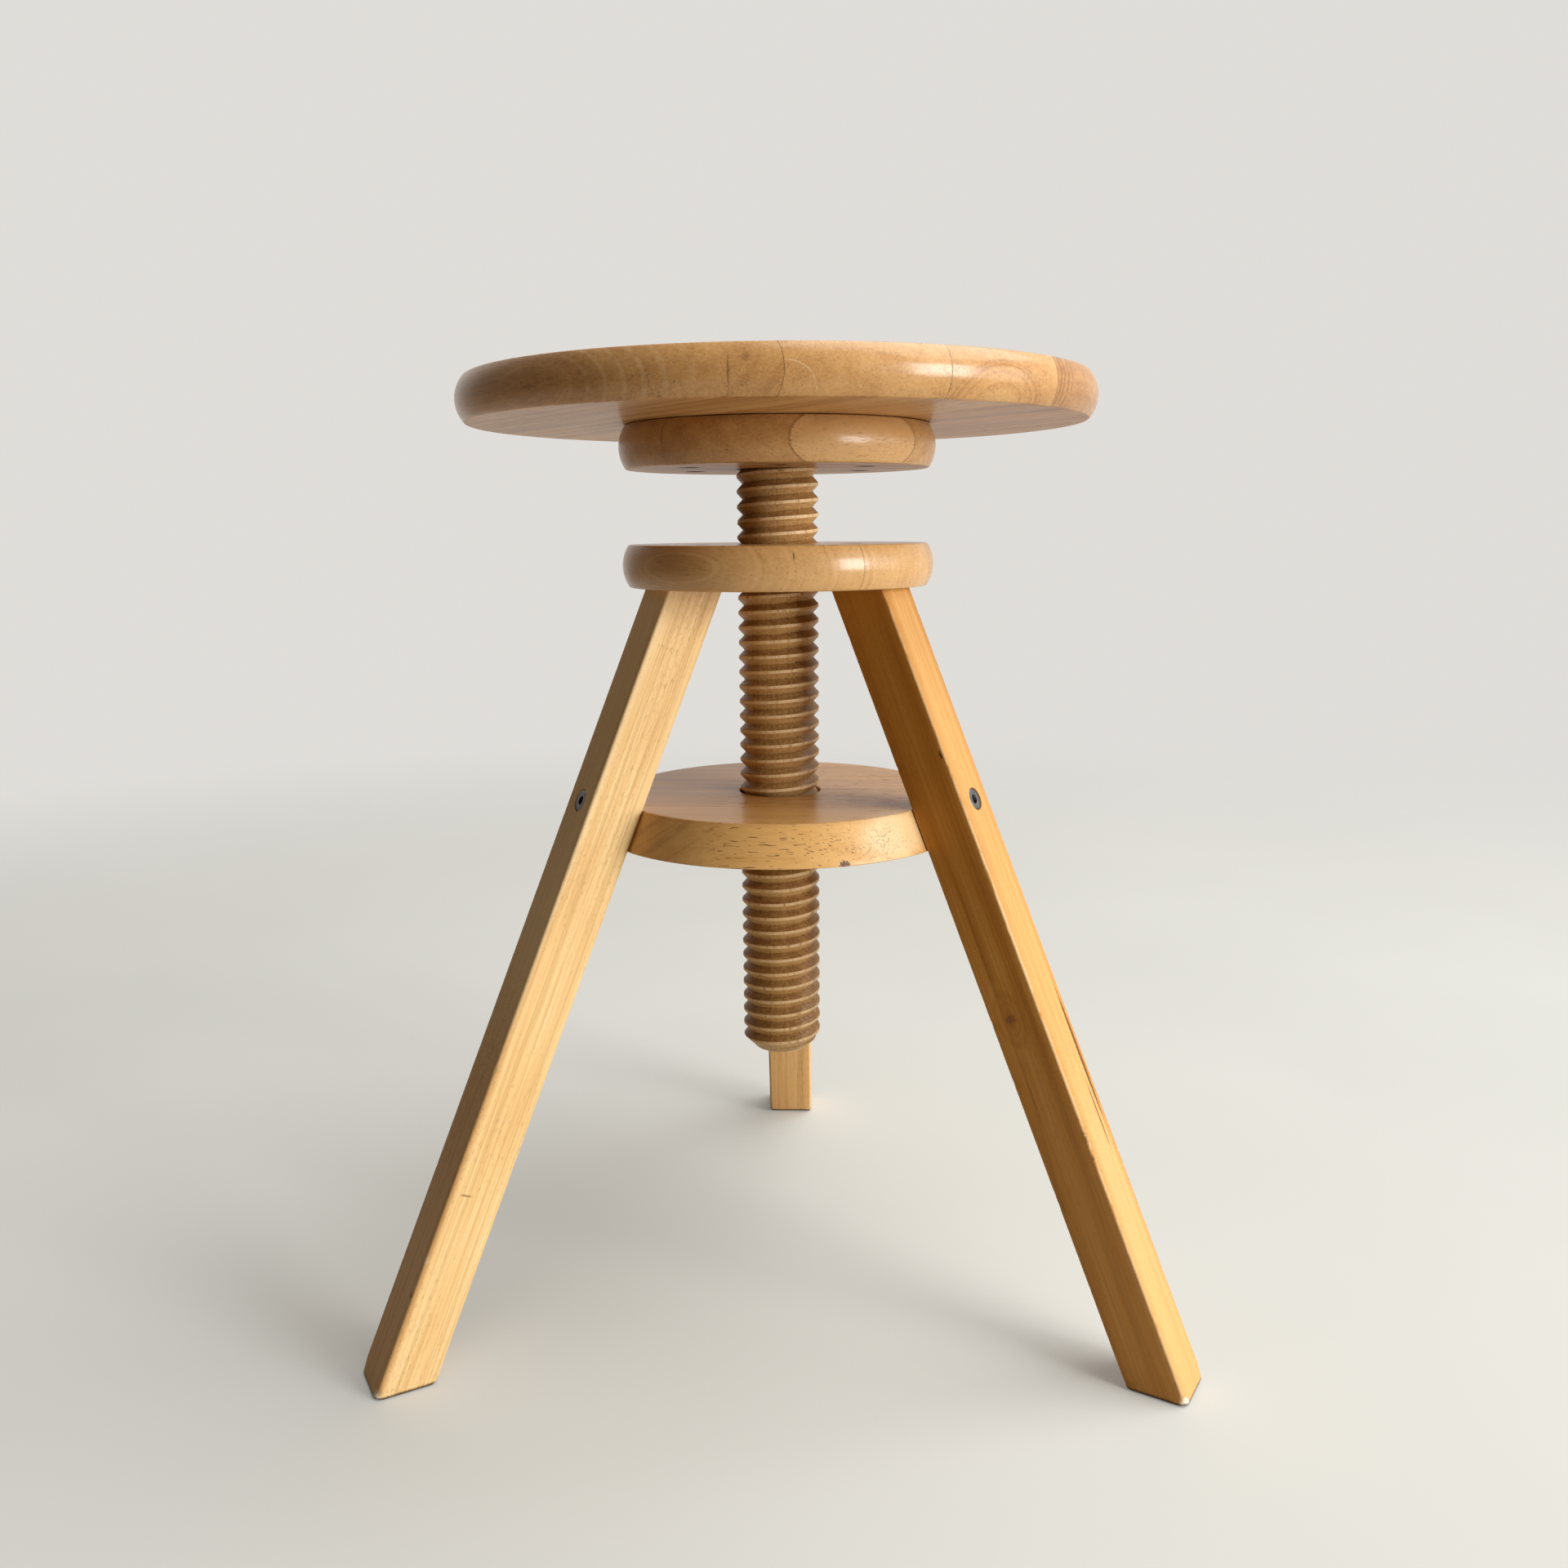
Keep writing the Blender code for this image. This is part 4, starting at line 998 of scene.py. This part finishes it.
carve(guide, guide_holes)

dress(seat_top, "turning_seat", ["seat"], seat_wood)
dress(plate, "turning_seat", ["seat_plate"], plate_wood)
dress(spindle, "turning_seat", ["spindle"], spindle_wood)
dress(nut, "base", ["nut_disc"], nut_wood)
dress(guide, "base", ["guide_disc"], guide_wood)
for name in ("bolt_insert_left", "bolt_insert_right", "bolt_insert_back", "spindle_screw"):
    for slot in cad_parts[name].material_slots:
        slot.material = screw_steel


# Floor, light and camera
FLOOR_RADIUS, FLOOR_DROP, FLOOR_FADE, FLOOR_GLOW = 2.4, 0.0002, (0.75, 2.2), 0.215
BACKDROP = (0.745, 0.725, 0.695)
MIRRORED = (0.745, 0.705, 0.655)
FRONT_FILL = (0.078, 0.052, 0.026)
BEHIND_FILL = (0.72, 0.69, 0.63)
DAYLIGHT = (1.0, 0.98, 0.95)
LAMP_AIM = Vector((0, 0, 0.30))
CAMERA_PLACE = AXIS + Vector((0.021636, -0.777948, 0.454962))
YAW, PITCH, ROLL = math.radians(-1.42), math.radians(-10.80), math.radians(-0.47)
SENSOR_WIDTH, FOCAL_LENGTH, CLIP_START = 36.0, 30.98, 0.01


def floor_material():
    """Pale painted floor that melts into the background away from the stool."""
    s = Surface("floor_paint")
    place = s.node("ShaderNodeTexCoord").outputs["Object"]
    cloud = s.noise(s.vector("SCALE", place, 3.0), 2.0)
    paint = s.ramp(cloud, [(0.3, (0.552, 0.562, 0.540)), (0.7, (0.577, 0.587, 0.565))])
    s.set("Base Color", s.mix(s.seen(), (0.45, 0.395, 0.31), paint))
    s.set("Roughness", 0.55)
    s.set("Specular IOR Level", 0.0)
    s.set("Emission Color", (0.79, 0.795, 0.765, 1.0))
    s.set("Emission Strength", s.times(s.seen(), FLOOR_GLOW))
    s.set("Alpha", s.span(s.vector("LENGTH", place), *FLOOR_FADE, 1.0, 0.0))
    return s.material


shape = bmesh.new()
bmesh.ops.create_circle(shape, cap_ends=True, segments=96, radius=FLOOR_RADIUS)
floor = new_piece("floor", finish_mesh(shape, "floor"))
floor.location.z = -FLOOR_DROP
floor.data.materials.append(floor_material())

scene = bpy.context.scene
scene.view_settings.view_transform = "Standard"
world = bpy.data.worlds.new("studio")
scene.world = world
world.use_nodes = True
sky = Nodes(world.node_tree)
outward = sky.node("ShaderNodeTexCoord").outputs["Generated"]
toward = sky.vector("DOT_PRODUCT", outward, (0.50, 0.80, 0.33))
mirrored = sky.ramp(sky.span(toward, -0.05, 0.55), [(0.0, tint(BACKDROP, 0.25)), (1.0, MIRRORED)])
glossy = sky.node("ShaderNodeLightPath").outputs["Is Glossy Ray"]
shown = sky.mix(glossy, BACKDROP, mirrored)
behind = sky.span(sky.vector("DOT_PRODUCT", outward, (0.42, 0.91, 0.05)), 0.25, 1.0)
fill = sky.mix(behind, FRONT_FILL, BEHIND_FILL)
sky.put(world.node_tree.nodes["Background"].inputs["Color"], sky.mix(sky.seen(), fill, shown))


def soft_lamp(name, azimuth, elevation, distance, size, power, color):
    """Area lamp at a distance from the stool's middle, azimuth and elevation in degrees."""
    azimuth, elevation = math.radians(azimuth), math.radians(elevation)
    lamp = bpy.data.lights.new(name, "AREA")
    lamp.shape = "RECTANGLE"
    lamp.size, lamp.size_y = size
    lamp.energy = power
    lamp.color = color
    place = Vector((math.cos(azimuth) * math.cos(elevation), math.sin(azimuth) * math.cos(elevation),
                    math.sin(elevation))) * distance
    item = bpy.data.objects.new(name, lamp)
    item.location = place + LAMP_AIM
    item.rotation_euler = (-place).to_track_quat("-Z", "Y").to_euler()
    scene.collection.objects.link(item)


soft_lamp("window", 327, 9, 6.0, (2.2, 2.8), 320.0, DAYLIGHT)
soft_lamp("side_window", 350, 9, 6.0, (3.0, 2.6), 65.0, DAYLIGHT)
soft_lamp("ceiling", 355, 62, 4.0, (4.0, 4.0), 170.0, (1.0, 0.985, 0.96))

forward = Vector((math.sin(YAW) * math.cos(PITCH), math.cos(YAW) * math.cos(PITCH), math.sin(PITCH)))
level = Vector((math.cos(YAW), -math.sin(YAW), 0))
upright = level.cross(forward)
right = level * math.cos(ROLL) + upright * math.sin(ROLL)
up = upright * math.cos(ROLL) - level * math.sin(ROLL)
lens = bpy.data.cameras.new("camera")
lens.sensor_width = SENSOR_WIDTH
lens.lens = FOCAL_LENGTH
lens.clip_start = CLIP_START
camera = bpy.data.objects.new("camera", lens)
camera.matrix_world = Matrix.Translation(CAMERA_PLACE) @ Matrix((right, up, -forward)).transposed().to_4x4()
scene.collection.objects.link(camera)
scene.camera = camera

bpy.context.view_layer.update()
